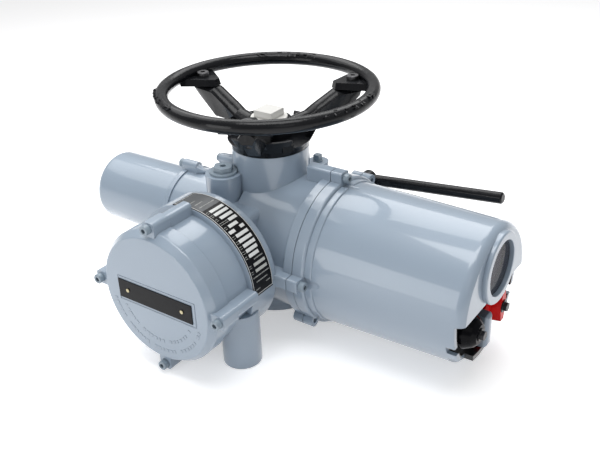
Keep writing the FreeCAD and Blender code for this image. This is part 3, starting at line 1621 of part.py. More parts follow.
def selector_dome():
    """The black selector: a wide dome with a flat front."""
    back = knob_room_back() + 1
    long = dome_front() - back
    return turned("black_selector_dome", [
        (0, 0),
        (S.dome_radius - 3, 0),
        (S.dome_radius, S.dome_foot),
        (S.dome_radius, long - S.dome_bend),
        (S.dome_radius - S.dome_slope, long - S.dome_foot),
        (S.dome_radius - 2 * S.dome_slope, long),
        (0, long),
    ], ((6, (3,)), (4, (4,))), back, -S.knob_spread, S.knob_height, "x")


def selector_wedge():
    """The red selector: a round base with a faceted grip."""
    back = knob_room_back() + 1
    y = S.knob_spread
    base = turned("red_selector_base", [
        (0, 0),
        (S.knob_radius - 4, 0),
        (S.knob_radius, 6),
        (S.knob_radius, knob_front() - back - S.grip_height - 3),
        (S.knob_radius - 3, knob_front() - back - S.grip_height),
        (0, knob_front() - back - S.grip_height),
    ], (), back, y, S.knob_height, "x")
    reach = float(S.knob_radius) - float(S.part_gap)
    foot = float(knob_front()) - float(S.grip_height) - 4
    corner = FreeCAD.Vector
    wires = []
    for x, tall, wide in ((foot, reach, float(S.grip_foot)),
                          (float(knob_front()), reach - 1, float(S.grip_top))):
        points = [corner(x, -wide / 2, -tall), corner(x, wide / 2, -tall), corner(x, wide, 0),
                  corner(x, wide / 2, tall), corner(x, -wide / 2, tall), corner(x, -wide, 0)]
        wires.append(Part.makePolygon(points + points[:1]))
    grip = put(fixed("red_selector_grip", Part.makeLoft(wires, True, True)), 0, y, S.knob_height)
    return fuse("red_selector_whole", base, grip)


def selector(name, side, body, front, label):
    """A selector knob with its shaft and front bolt."""
    y = side * S.knob_spread
    back = knob_room_back() + 1
    node(body, label)
    node(cylinder(name + "_spindle", S.knob_shaft_radius, S.spindle_length, back - S.spindle_length, y,
                  S.knob_height,
                  "x"),
         label + "_shaft")
    disc = cylinder(name + "_disc", S.knob_disc_radius, S.knob_disc_thick, front, y, S.knob_height, "x")
    head = prism(name + "_bolt_head", 6, S.knob_bolt_head, S.knob_bolt_height, front + S.knob_disc_thick,
                 y,
                 S.knob_height, "x")
    node(fuse(name + "_fixing", disc, head), label + "_bolt")


# Terminal cover and its contents

def terminal_cover():
    start = S.terminal_seam + S.gasket_thick
    shell = turned("terminal_shell", [
        (S.terminal_radius - S.terminal_wall, start),
        (S.terminal_radius + 3, start),
        (S.terminal_radius + 3, S.terminal_face - S.face_bevel),
        (S.face_plateau_radius, S.terminal_face),
        (0, S.terminal_face),
        (0, S.terminal_face - S.terminal_face_wall),
        (S.terminal_radius - S.terminal_wall, S.terminal_face - S.terminal_face_wall),
    ], ((4, (2,)), (2, (3,))), S.terminal_offset, 0, S.terminal_height, "-y")
    lugs = []
    holes = []
    screws = []
    for i, (across, up) in enumerate(around(4, 0, S.terminal_bolt_radius)):
        x = S.terminal_offset + across
        z = S.terminal_height + up
        holes.append(cylinder("terminal_cover_hole%d_" % i, S.bolt_radius, S.terminal_hole_length, x,
                              -start, z, "-y"))
        screws.append(socket_screw("terminal_screw%d_" % i, S.terminal_screw_length, x,
                                   -S.terminal_lug_front, z,
                                    "-y"))
    lugs += terminal_lugs("terminal_cover_lug", S.terminal_lug_half, S.terminal_lug_edge,
                          start, S.terminal_lug_front)
    inside = cylinder("terminal_inside", S.terminal_radius - S.terminal_wall,
                      S.terminal_face - S.terminal_face_wall - start,
                      S.terminal_offset, -start, S.terminal_height, "-y")
    node(cut("terminal_cover_cut", fuse("terminal_cover_whole", shell, *lugs), inside, *holes),
         "terminal_cover")
    node(group("terminal_screw_set", *screws), "terminal_screws")
    node(ring("terminal_gasket_ring", S.terminal_radius - 1, S.terminal_radius - S.terminal_wall,
              S.gasket_thick, S.terminal_offset, -S.terminal_seam, S.terminal_height, "-y"),
         "terminal_gasket")


def terminal_fittings():
    floor = terminal_floor()
    node(cylinder("terminal_block_disc", S.block_radius, S.block_height, S.terminal_offset, -floor,
                  S.terminal_height,
                  "-y"),
         "terminal_block")
    studs = []
    for i, (across, up) in enumerate(around(6, 0, S.stud_circle)):
        studs.append(cylinder("stud%d_" % i, S.stud_radius, S.stud_length, S.terminal_offset + across,
                              -floor - S.block_height,
                              S.terminal_height + up, "-y"))
    node(group("stud_set", *studs), "terminal_studs")
    inner = S.band_radius
    strip = ring("plate_ring", inner + S.plate_thick, inner, S.band_front - S.band_back - S.plate_inset - 1,
                 S.terminal_offset, -S.band_back - S.plate_inset, S.terminal_height, "-y")
    sector = bind(doc.addObject("Part::Cylinder", "plate_sector"), Radius=2 * inner,
                  Height=S.band_front - S.band_back)
    sector.Angle = PLATE_ANGLE
    turn = ALONG["-y"].multiply(FreeCAD.Rotation(FreeCAD.Vector(0, 0, 1), PLATE_START))
    put(sector, S.terminal_offset, -S.band_back, S.terminal_height, turn)
    node(common("plate_strip", strip, sector), "rating_plate")
    half = S.name_bar_width / 2
    tall = S.name_bar_height / 2
    node(box("name_bar_box", (S.terminal_offset - half, -S.terminal_face - S.bar_thick,
              S.terminal_height - tall),
             (S.terminal_offset + half, -S.terminal_face, S.terminal_height + tall)), "name_bar")
    rivets = []
    for side in (-1, 1):
        rivets.append(cylinder("rivet%d_" % (side + 1), S.rivet_radius, 1,
                               S.terminal_offset + side * S.rivet_spread,
                               -S.terminal_face - S.bar_thick, S.terminal_height, "-y"))
    node(group("rivet_pair", *rivets), "bar_rivets")


# Plugs

def plugs():
    top = S.filler_top
    x = -S.filler_offset
    y = -S.filler_reach
    node(ring("washer_ring", S.washer_radius, S.filler_hole_radius, S.washer_thick, x, y, top),
         "filler_washer")
    shank = cylinder("filler_shank", S.filler_hole_radius - S.thread_play, S.filler_grip + S.washer_thick,
                     x, y,
                     top - S.filler_grip)
    head = prism("filler_head", 6, S.filler_head, S.filler_head_height, x, y, top + S.washer_thick)
    key = prism("filler_key", 6, S.filler_key, S.filler_head_height, x, y, top + S.washer_thick + 2)
    node(cut("filler_cut", fuse("filler_whole", shank, head), key), "filler_plug")
    top = S.plug_boss_top
    shank = cylinder("square_shank", S.plug_hole_radius - S.thread_play, S.filler_grip + 2,
                     S.filler_offset,
                    S.filler_reach, top - S.filler_grip)
    half = S.square_side / 2
    step = cylinder("square_step", S.plug_hole_radius + 1, 2, S.filler_offset, S.filler_reach, top)
    head = box("square_head", (S.filler_offset - half, S.filler_reach - half, top + 2),
               (S.filler_offset + half, S.filler_reach + half, top + 2 + S.square_height))
    node(fuse("square_whole", shank, step, head), "square_plug")
    x = -S.side_plug_reach
    shank = cylinder("side_shank", S.side_hole_radius - S.pin_gap, S.side_grip, x, -S.side_plug_offset,
                     S.side_plug_height, "x")
    head = cylinder("side_head", S.side_head_radius, S.side_head_height, x, -S.side_plug_offset,
                    S.side_plug_height,
                    "-x")
    node(fuse("side_whole", shank, head), "side_plug")


def check(items):
    """Stop if any object failed or any node is empty or broken."""
    doc.recompute()
    for item in doc.Objects:
        if "Invalid" in item.State or "Error" in item.State:
            raise RuntimeError(item.Label + " failed")
    for item in items:
        if item.Shape.isNull() or not item.Shape.isValid() or not item.Shape.Solids:
            raise RuntimeError(item.Label + " is not a sound solid")


def write(items):
    os.makedirs("parts", exist_ok=True)
    for item in items:
        item.Shape.exportStep(os.path.join("parts", item.Label + ".step"))
        print("%-20s %3d solids  %12.1f mm3" % (item.Label, len(item.Shape.Solids), item.Shape.Volume))


gear_case()
thrust_base()
base_screws()
output_column()
gear_train()
clutch()
clutch_fork()
lever()
handwheel()
motor()
control_cover()
window()
selector("black_selector", -1, selector_dome(), dome_front(), "selector_knob")
selector("red_selector", 1, selector_wedge(), knob_front(), "stop_knob")
terminal_cover()
terminal_fittings()
plugs()
check(nodes)
write(nodes)
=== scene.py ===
import json
import math
from itertools import cycle

import bmesh
import bpy
from mathutils import Matrix, Vector


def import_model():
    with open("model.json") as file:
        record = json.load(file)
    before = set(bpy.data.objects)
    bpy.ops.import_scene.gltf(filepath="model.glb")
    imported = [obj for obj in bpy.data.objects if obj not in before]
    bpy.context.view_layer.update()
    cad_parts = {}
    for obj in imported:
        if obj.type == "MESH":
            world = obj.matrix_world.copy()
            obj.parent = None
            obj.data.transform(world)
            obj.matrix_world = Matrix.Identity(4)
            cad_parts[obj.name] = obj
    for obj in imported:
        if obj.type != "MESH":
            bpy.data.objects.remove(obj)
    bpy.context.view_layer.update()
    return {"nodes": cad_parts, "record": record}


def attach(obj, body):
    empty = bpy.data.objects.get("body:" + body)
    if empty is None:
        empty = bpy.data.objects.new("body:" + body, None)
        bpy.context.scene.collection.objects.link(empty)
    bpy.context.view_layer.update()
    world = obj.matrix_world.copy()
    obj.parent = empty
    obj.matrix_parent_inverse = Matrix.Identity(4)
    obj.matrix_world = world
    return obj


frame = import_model()
MM = 0.001


# Sizes of the frame that the dressing sits on, in millimetres and degrees

TERMINAL_X = -13        # the terminal cover's axis
TERMINAL_Z = 111.7
TERMINAL_FACE = -236    # the terminal cover's front, along Y
COVER_Z = 109           # the control cover's axis
WHEEL_Z = 320           # the middle of the handwheel's ring
RIM_RADIUS = 140.7
RIM_TUBE = 9.3
PLATE_RADIUS = 99       # the rating plate's outer surface, round the terminal cover's axis
PLATE_START = 122       # the plate's edge nearest the column, along -Y
PLATE_LENGTH = 39
PLATE_LOW = -1.6        # the plate's lower and upper edge, as angles from +X
PLATE_HIGH = 103.5


# Shader helpers

MIX_INPUTS = (0, 6, 7)  # factor and colours of a Mix node, where several inputs share a name
MIX_OUTPUT = 2
MOST = (0.2, 0.8)       # spans of a noise or a shadow that a ramp stretches
MIDDLE = (0.3, 0.7)
WHOLE = (0.0, 1.0)
FALLING = (1.0, 0.0)


class Shader:
    """A new material with short calls for its nodes."""

    def __init__(self, name):
        self.name = name
        self.material = bpy.data.materials.new(name)
        self.material.use_nodes = True
        self.tree = self.material.node_tree
        self.surface = self.tree.nodes["Principled BSDF"]
        self.place = self.node("ShaderNodeTexCoord").outputs["Object"]

    def node(self, kind, **values):
        """A new node. A value goes to the input of its name, or else to the node's own setting."""
        node = self.tree.nodes.new(kind)
        for key, value in values.items():
            if key in node.inputs:
                node.inputs[key].default_value = value
            else:
                setattr(node, key, value)
        return node

    def feed(self, socket, value):
        """Gives an input another node's output, a number or an RGB colour."""
        if isinstance(value, bpy.types.NodeSocket):
            self.tree.links.new(value, socket)
        else:
            socket.default_value = (*value, 1) if isinstance(value, tuple) else value

    def noise(self, scale, detail=2.0, rough=0.5, stretch=None):
        """Noise by place. The stretch is its scale along X, Y and Z."""
        node = self.node("ShaderNodeTexNoise", Scale=scale, Detail=detail, Roughness=rough)
        place = self.place
        if stretch:
            mapping = self.node("ShaderNodeMapping", Scale=stretch)
            self.feed(mapping.inputs["Vector"], place)
            place = mapping.outputs["Vector"]
        self.feed(node.inputs["Vector"], place)
        return node.outputs["Fac"]

    def ramp(self, source, span, result=WHOLE):
        """Stretches a span of values onto a result."""
        node = self.node("ShaderNodeMapRange")
        self.feed(node.inputs["Value"], source)
        for key, value in zip(("From Min", "From Max", "To Min", "To Max"), (*span, *result)):
            node.inputs[key].default_value = value
        return node.outputs["Result"]

    def mix(self, amount, first, second):
        """A colour between two others."""
        node = self.node("ShaderNodeMix", data_type="RGBA")
        for index, value in zip(MIX_INPUTS, (amount, first, second)):
            self.feed(node.inputs[index], value)
        return node.outputs[MIX_OUTPUT]

    def calc(self, operation, *values):
        """One Math node on outputs of other nodes or plain numbers."""
        node = self.node("ShaderNodeMath", operation=operation)
        for socket, value in zip(node.inputs, values):
            self.feed(socket, value)
        return node.outputs[0]

    def product(self, first, *others):
        """Values multiplied in turn."""
        for other in others:
            first = self.calc("MULTIPLY", first, other)
        return first

    def between(self, value, low, high):
        """1 where a place lies between two limits in millimetres, else 0."""
        return self.calc("COMPARE", value, (low + high) / 2 * MM, (high - low) / 2 * MM)

    def crevice(self, reach):
        """1 in the open, less in corners."""
        return self.node("ShaderNodeAmbientOcclusion", Distance=reach, samples=8).outputs["AO"]

    def finish(self, color, rough, bumps=(), bevel=0.6 * MM, **sockets):
        """Sets colour, roughness, rounded edges and (height, depth) bumps, and files the look."""
        surface = self.surface
        self.feed(surface.inputs["Base Color"], color)
        self.feed(surface.inputs["Roughness"], rough)
        normal = None
        if bevel:
            normal = self.node("ShaderNodeBevel", Radius=bevel, samples=6).outputs["Normal"]
        for height, depth in bumps:
            bump = self.node("ShaderNodeBump", Strength=1.0, Distance=depth)
            self.feed(bump.inputs["Height"], height)
            if normal:
                self.feed(bump.inputs["Normal"], normal)
            normal = bump.outputs["Normal"]
        if normal:
            self.feed(surface.inputs["Normal"], normal)
        for key, value in sockets.items():
            surface.inputs[key.replace("_", " ")].default_value = value
        looks[self.name] = self.material


def shade(color, factor):
    """A colour made darker or lighter."""
    return tuple(min(1.0, part * factor) for part in color)


# Looks: colours are linear RGB, and a noise's scale is its waves per metre

PAINT = (0.315, 0.39, 0.478)
BLACK = (0.005, 0.0055, 0.007)
DUST = (0.09, 0.095, 0.105)
DUST_SHARE = 0.08
looks = {}


def painted(name, base, rough=(0.3, 0.36), dirt_and_shade=0.5, coat=0.8, mask=None):
    """Sprayed gloss paint over a casting: soft waves, orange peel, and painted shade in the corners,
    broken into patches as a little dirt.
    """
    s = Shader(name)
    patch = s.ramp(s.noise(7), MOST)
    color = s.mix(patch, shade(base, 0.975), base)
    # Corners darken towards half the paint colour: painted shade, made patchy by a noise that stands
    # for a little dirt.
    corner_shade = s.ramp(s.crevice(6 * MM), MOST, FALLING)
    dirt_and_shade_patches = s.ramp(s.noise(45, detail=3), MOST, (0.4, 1.0))
    color = s.mix(s.product(corner_shade, dirt_and_shade_patches, dirt_and_shade), color, shade(base, 0.5))
    if mask:
        color = s.mix(mask(s), color, BLACK)
    gloss = s.ramp(s.noise(20), MOST, rough)
    waves = (s.noise(38), 0.18 * MM)
    peel = (s.noise(420), 0.02 * MM)
    s.finish(color, gloss, (waves, peel), 1.3 * MM, Coat_Weight=coat, Coat_Roughness=0.07)


# Where the control cover is black, and where its web is painted darker as shade, in millimetres of the
# frame

RECESS_X = (299, 331)
RECESS_RADIUS = 88.5
RECESS_Z = (0, 113)
LIP_X = (313, 400)
LIP_Y = (-21.5, 21.5)
LIP_Z = (0, 32)
WEB_Y = (-8.3, 8.3)
WEB_Z = (32, 79.5)
WEB_SHADE = 0.5


def cover_black_and_web_shade(s):
    """1 in the knob recess and on its lip, half on the web in the recess as painted shade, else 0."""
    apart = s.node("ShaderNodeSeparateXYZ")
    s.feed(apart.inputs["Vector"], s.place)
    x, y, z = (apart.outputs[axis] for axis in "XYZ")
    flat = s.node("ShaderNodeMapping", Location=(0, 0, -COVER_Z * MM), Scale=(0, 1, 1))
    s.feed(flat.inputs["Vector"], s.place)
    away = s.node("ShaderNodeVectorMath", operation="LENGTH")
    s.feed(away.inputs[0], flat.outputs["Vector"])
    inside = s.between(away.outputs["Value"], 0, RECESS_RADIUS)
    recess = s.product(s.between(x, *RECESS_X), inside, s.between(z, *RECESS_Z))
    lip = s.product(s.between(y, *LIP_Y), s.between(z, *LIP_Z), s.between(x, *LIP_X))
    # The web is painted half black: painted shade on a part of the cover's paint.
    web = s.product(s.between(y, *WEB_Y), s.between(z, *WEB_Z), WEB_SHADE)
    return s.product(s.calc("MAXIMUM", recess, lip), s.calc("SUBTRACT", 1.0, web))


def metal(name, base, rough=(0.28, 0.45), scratch=(1, 1, 12), depth=0.02 * MM):
    """Turned or plated metal with fine machining marks, duller patches and painted shade in corners."""
    s = Shader(name)
    patch = s.ramp(s.noise(40, detail=4, rough=0.6), MIDDLE)
    color = s.mix(patch, shade(base, 0.82), base)
    # Corners darken towards a third of the colour: painted shade.
    corner_shade = s.ramp(s.crevice(4 * MM), (0.3, 0.9), FALLING)
    color = s.mix(corner_shade, color, shade(base, 0.35))
    gloss = s.ramp(s.noise(160, detail=3), MIDDLE, rough)
    marks = (s.noise(300, stretch=scratch), depth)
    s.finish(color, gloss, (marks,), 0.5 * MM, Metallic=1.0)


def moulded(name, base, rough=(0.32, 0.45), light=1.12, **sockets):
    """Moulded plastic or rubber with a fine grain, lighter patches and shaded corners."""
    s = Shader(name)
    patch = s.ramp(s.noise(50, detail=3), MIDDLE)
    color = s.mix(patch, base, shade(base, light))
    corner_shade = s.ramp(s.crevice(5 * MM), (0.3, 0.9), FALLING)
    color = s.mix(corner_shade, color, shade(base, 0.55))
    gloss = s.ramp(s.noise(120, detail=3), MIDDLE, rough)
    grain = (s.noise(900), 0.02 * MM)
    s.finish(color, gloss, (grain,), **sockets)


def cast_black(name):
    """Thick black paint on a cast wheel, with a little dust on its upward faces."""
    s = Shader(name)
    up = s.node("ShaderNodeSeparateXYZ")
    s.feed(up.inputs["Vector"], s.node("ShaderNodeNewGeometry").outputs["Normal"])
    facing = s.ramp(up.outputs["Z"], (0.3, 1.0))
    patch = s.ramp(s.noise(70, detail=4, rough=0.6), (0.3, 0.75), (0.1, 1.0))
    dust = s.product(facing, patch)
    color = s.mix(s.product(dust, DUST_SHARE), BLACK, DUST)
    gloss = s.ramp(dust, WHOLE, (0.17, 0.28))
    waves = (s.noise(110, detail=3), 0.3 * MM)
    grain = (s.noise(620), 0.05 * MM)
    s.finish(color, gloss, (waves, grain), 0.9 * MM, Specular_IOR_Level=0.28)


def glass(name):
    """Clear flat glass, as a thin pane that is mostly see-through."""
    Shader(name).finish((0.08, 0.08, 0.1), rough=0.03, bevel=0, IOR=1.5, Alpha=0.3)


def display(name, dark, light):
    """Display film with faint streaks, seen through the window."""
    s = Shader(name)
    streak = s.ramp(s.noise(55, detail=3, stretch=(1, 1, 0.25)), MIDDLE)
    gloss = s.ramp(s.noise(80), WHOLE, (0.4, 0.55))
    s.finish(s.mix(streak, dark, light), gloss, bevel=0, Specular_IOR_Level=0.0)


def stacked(name, base):
    """Thin steel sheets stacked along X."""
    s = Shader(name)
    sheets = s.noise(900, detail=1, stretch=(1, 0.01, 0.01))
    color = s.mix(s.ramp(sheets, (0.4, 0.6)), shade(base, 0.7), base)
    gloss = s.ramp(s.noise(90), WHOLE, (0.35, 0.5))
    s.finish(color, gloss, ((sheets, 0.05 * MM),), 0.3 * MM, Metallic=1.0)


painted("case_paint", PAINT)
painted("cover_paint", PAINT, mask=cover_black_and_web_shade)
painted("fitting_paint", (0.26, 0.325, 0.385), rough=(0.3, 0.42), dirt_and_shade=0.8, coat=0.3)
cast_black("black_paint")
metal("bright_steel", (0.56, 0.56, 0.55))
metal("dark_steel", (0.12, 0.12, 0.125), rough=(0.35, 0.5))
metal("bronze", (0.55, 0.33, 0.12))
moulded("seal_rubber", (0.012, 0.012, 0.013), rough=(0.55, 0.75))
moulded("white_plastic", (0.64, 0.635, 0.61), rough=(0.4, 0.5), light=1.03)
metal("bare_aluminium", (0.6, 0.61, 0.62), rough=(0.35, 0.5))
stacked("core_steel", (0.3, 0.31, 0.33))
metal("copper", (0.6, 0.24, 0.1), rough=(0.25, 0.4), scratch=(1, 14, 14), depth=0.15 * MM)
glass("window_glass")
display("display_grey", dark=(0.14, 0.139, 0.18), light=(0.215, 0.212, 0.265))
moulded("board_green", (0.01, 0.09, 0.035))
moulded("black_plastic", (0.004, 0.004, 0.0055), rough=(0.1, 0.16), light=1.4,
        Specular_IOR_Level=0.08)
moulded("black_oxide", (0.014, 0.014, 0.018), rough=(0.25, 0.4), light=1.3,
        Specular_IOR_Level=0.4)
moulded("red_plastic", (0.76, 0.005, 0.006), rough=(0.16, 0.26), light=1.05,
        Specular_IOR_Level=0.12)
moulded("block_plastic", (0.03, 0.03, 0.032))
metal("stud_brass", (0.5, 0.44, 0.28))
moulded("black_plate", (0.004, 0.004, 0.005), rough=(0.3, 0.4), light=1.3,
        Specular_IOR_Level=0.15)
moulded("print_white", (0.78, 0.79, 0.78), rough=(0.4, 0.5), light=1.02)
moulded("print_pale", (0.52, 0.53, 0.5), rough=(0.4, 0.5), light=1.02)
moulded("print_grey", (0.075, 0.082, 0.088), rough=(0.35, 0.5))

# Pieces that look different from the rest of their slot

SPECIAL_LOOKS = {
    "fitting_paint": ("terminal_screws", "control_screws", "jack_screws", "motor_screws",
                      "filler_washer", "filler_plug", "square_plug", "side_plug"),
    "black_oxide": ("selector_knob_bolt", "stop_knob_bolt", "selector_knob_shaft", "stop_knob_shaft"),
    "cover_paint": ("control_cover",),
}
special_look = {name: look for look, names in SPECIAL_LOOKS.items() for name in names}

for entry in frame["record"]["subparts"]:
    node = frame["nodes"][entry["node"]]
    look = special_look.get(entry["node"], entry["material_slot"])
    node.data.materials.clear()
    node.data.materials.append(looks[look])


# Mesh helpers: sizes are in millimetres, and a place function gives points in metres

def piece(name, mesh, body, look):
    """Makes a mesh into a dressing piece that rides on a body."""
    data = bpy.data.meshes.new(name)
    mesh.normal_update()
    mesh.to_mesh(data)
    mesh.free()
    data.materials.append(looks[look])
    thing = bpy.data.objects.new(name, data)
    bpy.context.scene.collection.objects.link(thing)
    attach(thing, body)


def slab(mesh, outline, thick, place):
    """Adds a flat plate: outline points (u, v) and a thickness, put in place by a function."""
    low = [mesh.verts.new(place(u, v, 0)) for u, v in outline]
    high = [mesh.verts.new(place(u, v, thick)) for u, v in outline]
    count = len(outline)
    mesh.faces.new(reversed(low))
    mesh.faces.new(high)
    for i in range(count):
        mesh.faces.new((low[i], low[(i + 1) % count], high[(i + 1) % count], high[i]))


def rectangle(u, v, wide, tall):
    """The corners of a rectangle, from its middle."""
    return [(u - wide / 2, v - tall / 2), (u + wide / 2, v - tall / 2),
            (u + wide / 2, v + tall / 2), (u - wide / 2, v + tall / 2)]


# Rating plate: blank fields and thin rules. Angles run round the plate, lengths along it

RULE_WIDE = 0.9
RULE_ANGLE = 0.5
RULE_THICK = 0.2
RULE_EDGE = 0.4         # from the plate's edge to the rules
PANEL_START = 77
PANEL_GAP = 1.0
PLATE_MARGIN = 2.2
FLAT_THICK = 0.1
FIELD_THICK = 0.14
WHITE_HALF = 1.35
WHITE_FIELDS = (        # angle of the middle, from, to
    (73, 4.3, 30), (68.6, 4.5, 30), (64, 4.8, 27.5), (59.6, 4.8, 20), (55, 11.5, 28.4),
    (50.8, 6, 14), (50.6, 24, 35), (46, 6.3, 29.5), (41.6, 6.2, 31), (37.2, 6.2, 29.4),
    (33, 7.6, 29.5), (28.8, 10, 29),
)
PALE_HALF = 1.2
PALE_FIELDS = ((21.3, 5, 27.5), (16.6, 5, 27.5))
SIDE_ROWS = (           # angle and start of the dashes beside the fields
    (73, 32), (68.6, 32), (64, 32), (59.6, 21.5), (55, 32), (46, 32),
    (41.6, 32), (37.2, 32), (33, 32), (28.8, 32), (21.3, 32), (16.6, 32),
)
SIDE_SHIFTS = (-1.1, 0.5)
SIDE_DASH = (0.9, 0.6)  # length, angle
LONG_ROWS = (           # angle, from, to
    (24.8, 6, 24), (12.2, 4, 36), (8.2, 9, 33), (4.2, 5, 14),
    (2.2, 26, 35), (81, 5, 33), (86, 18, 32), (91, 22, 34),
)
LONG_DASH = (1.3, 0.9)
DASH_GAP = 0.45
DASH_SHARES = (0.7, 1.0, 0.9, 0.8)


def on_plate(angle, along, height):
    """A place on the rating plate's outer surface."""
    turn = math.radians(angle)
    radius = (PLATE_RADIUS + height) * MM
    return Vector((TERMINAL_X * MM + radius * math.cos(turn), -(PLATE_START + along) * MM,
                   TERMINAL_Z * MM + radius * math.sin(turn)))


def bent_slab(mesh, start, end, low, high, thick, steps=1):
    """Adds a flat field that bends round the rating plate from one angle to another."""
    section = ((low, 0), (high, 0), (high, thick), (low, thick))
    rows = []
    for i in range(steps + 1):
        angle = start + (end - start) * i / steps
        rows.append([mesh.verts.new(on_plate(angle, along, height)) for along, height in section])
    for row, after in zip(rows, rows[1:]):
        for i in range(4):
            j = (i + 1) % 4
            mesh.faces.new((row[i], row[j], after[j], after[i]))
    mesh.faces.new(reversed(rows[0]))
    mesh.faces.new(rows[-1])


def dashes(mesh, angle, low, high, wide, tall):
    """A row of short marks along the plate, with lengths that differ a little."""
    shares = cycle(DASH_SHARES)
    along = low
    while along + wide < high:
        bent_slab(mesh, angle, angle + tall, along, along + wide * next(shares), FLAT_THICK)
        along += wide + DASH_GAP


def rating_fields():
    """The rules, the grey panel, white and pale fields, and rows of dashes."""
    white = bmesh.new()
    pale = bmesh.new()
    grey = bmesh.new()
    far_edge = PLATE_LENGTH - RULE_EDGE
    far_margin = PLATE_LENGTH - PLATE_MARGIN
    for low, high in ((RULE_EDGE, RULE_EDGE + RULE_WIDE), (far_edge - RULE_WIDE, far_edge)):
        bent_slab(white, PLATE_LOW, PLATE_HIGH, low, high, RULE_THICK, steps=44)
    for start in (PLATE_LOW, PLATE_HIGH - RULE_ANGLE):
        bent_slab(white, start, start + RULE_ANGLE, RULE_EDGE, far_edge, RULE_THICK, steps=2)
    bent_slab(grey, PANEL_START, PLATE_HIGH - PANEL_GAP, PLATE_MARGIN, far_margin, FLAT_THICK, steps=12)
    for mesh, fields, half in ((white, WHITE_FIELDS, WHITE_HALF), (pale, PALE_FIELDS, PALE_HALF)):
        for angle, low, high in fields:
            bent_slab(mesh, angle - half, angle + half, low, high, FIELD_THICK, steps=3)
    for angle, low in SIDE_ROWS:
        for shift in SIDE_SHIFTS:
            dashes(pale, angle + shift, low, far_margin, *SIDE_DASH)
    for angle, low, high in LONG_ROWS:
        dashes(pale, angle, low, high, *LONG_DASH)
    piece("plate_fields", white, "actuator", "print_white")
    piece("plate_print", pale, "actuator", "print_pale")
    piece("plate_panel", grey, "actuator", "print_grey")


rating_fields()


# Ring marks: generic raised bars and arrows on the flanks of the handwheel's ring

MARK_HEIGHT = 3.2
MARK_SINK = 0.6         # how deep the foot of a mark sits in the ring
TOP_GAP = 0.06          # how far a mark stays under the ring's top
FLANK_SHIFT = 5.6       # from the ring's crown to the middle of a mark, along its surface
STROKE = 1.9
MARKS = (               # the strokes of each mark: middle (u, v), wide, tall
    ((-2.4, 0, STROKE, 9.6), (1.2, 3.8, 5.2, STROKE), (1.2, -3.8, 5.2, STROKE)),
    ((-2.6, 0, STROKE, 9.6), (2.6, 0, STROKE, 9.6), (0, 3.9, 3.4, STROKE), (0, -3.9, 3.4, STROKE)),
    ((-2.4, 0, STROKE, 9.6), (1.0, 0, 5.0, STROKE)),
    ((0, 0, STROKE, 9.6), (0, 3.9, 6.6, STROKE)),
    ((2.4, 0, STROKE, 9.6), (-1.2, 3.8, 5.2, STROKE), (-1.2, -0.6, 5.2, STROKE)),
)
MARK_GROUPS = (         # from and to angle, the arrow's angle, flank (1 is the outer), first mark
    (-27, 1.5, 10.6, 1, 3),
    (95, 121, 131.4, -1, 0),
    (-144, -122, -110, 1, 1),
)
MARK_COUNT = 5
MARK_STEP = 2           # from one mark of a group to the next in the list
GROUP_INSET = 0.3       # from a group's start to its first mark, in mark spaces
GROUP_SPACES = 4.6
ARROW_SHAFT = (-4, 0, 11, STROKE)
ARROW_BARBS = (         # one side of the head and of the tail
    ((5, 0), (-2.2, 5), (-3.8, 3.6), (2, 0)),
    ((-5, 0), (-9, 4.6), (-10.6, 3.4), (-8, 0)),
)


def on_rim(start, flank):
    """Places on a flank of the ring: u runs round the wheel from an angle, v across the ring."""
    def place(u, v, height):
        turn = math.radians(start) + u / RIM_RADIUS
        lean = (v + flank * FLANK_SHIFT) / RIM_TUBE
        reach = RIM_TUBE + height - MARK_SINK
        ring = RIM_RADIUS + reach * math.sin(lean)
        rise = min(reach * math.cos(lean), RIM_TUBE - TOP_GAP)
        return Vector((ring * math.cos(turn) * MM, ring * math.sin(turn) * MM, (WHEEL_Z + rise) * MM))
    return place


def rim_marks():
    """Groups of marks on the ring, each with an arrow behind it."""
    mesh = bmesh.new()
    for start, end, arrow, flank, first in MARK_GROUPS:
        for i in range(MARK_COUNT):
            place = on_rim(start + (end - start) * (i + GROUP_INSET) / GROUP_SPACES, flank)
            for stroke in MARKS[(first + i * MARK_STEP) % len(MARKS)]:
                slab(mesh, rectangle(*stroke), MARK_HEIGHT, place)
        place = on_rim(arrow, flank)
        slab(mesh, rectangle(*ARROW_SHAFT), MARK_HEIGHT, place)
        for side in (-1, 1):
            for barb in ARROW_BARBS:
                slab(mesh, [(u, side * v) for u, v in barb][::side], MARK_HEIGHT, place)
    piece("rim_marks", mesh, "handwheel", "black_paint")


rim_marks()


# Terminal cover: a fine line round the bar, and two arcs of small raised dashes

LINE_MIDDLE = 2
LINE_WIDE = 130
LINE_TALL = 35.2
LINE_STROKE = 0.7
LINE_HEIGHT = 0.5
ARCS = (                # radius, from and to angle, step
    (74, 195, 345, 5.2),
    (60, 205, 335, 6.4),
)
ARC_HALVES = (1.5, 2.2, 2.9, 1.85, 2.55)    # half lengths of the dashes, in turn
ARC_TALL_HALF = 2.1
ARC_HEIGHT = 0.35
ARC_RUN = 7             # of this many dashes in a row,
ARC_GAP = 5             # the one with this number is left out
CORNERS = ((-1, -1), (-1, 1), (1, 1), (1, -1))


def on_terminal_face(u, v, height):
    """A place on the terminal cover's front: u to the right, v up."""
    return Vector(((TERMINAL_X + u) * MM, (TERMINAL_FACE - height) * MM, (TERMINAL_Z + v) * MM))


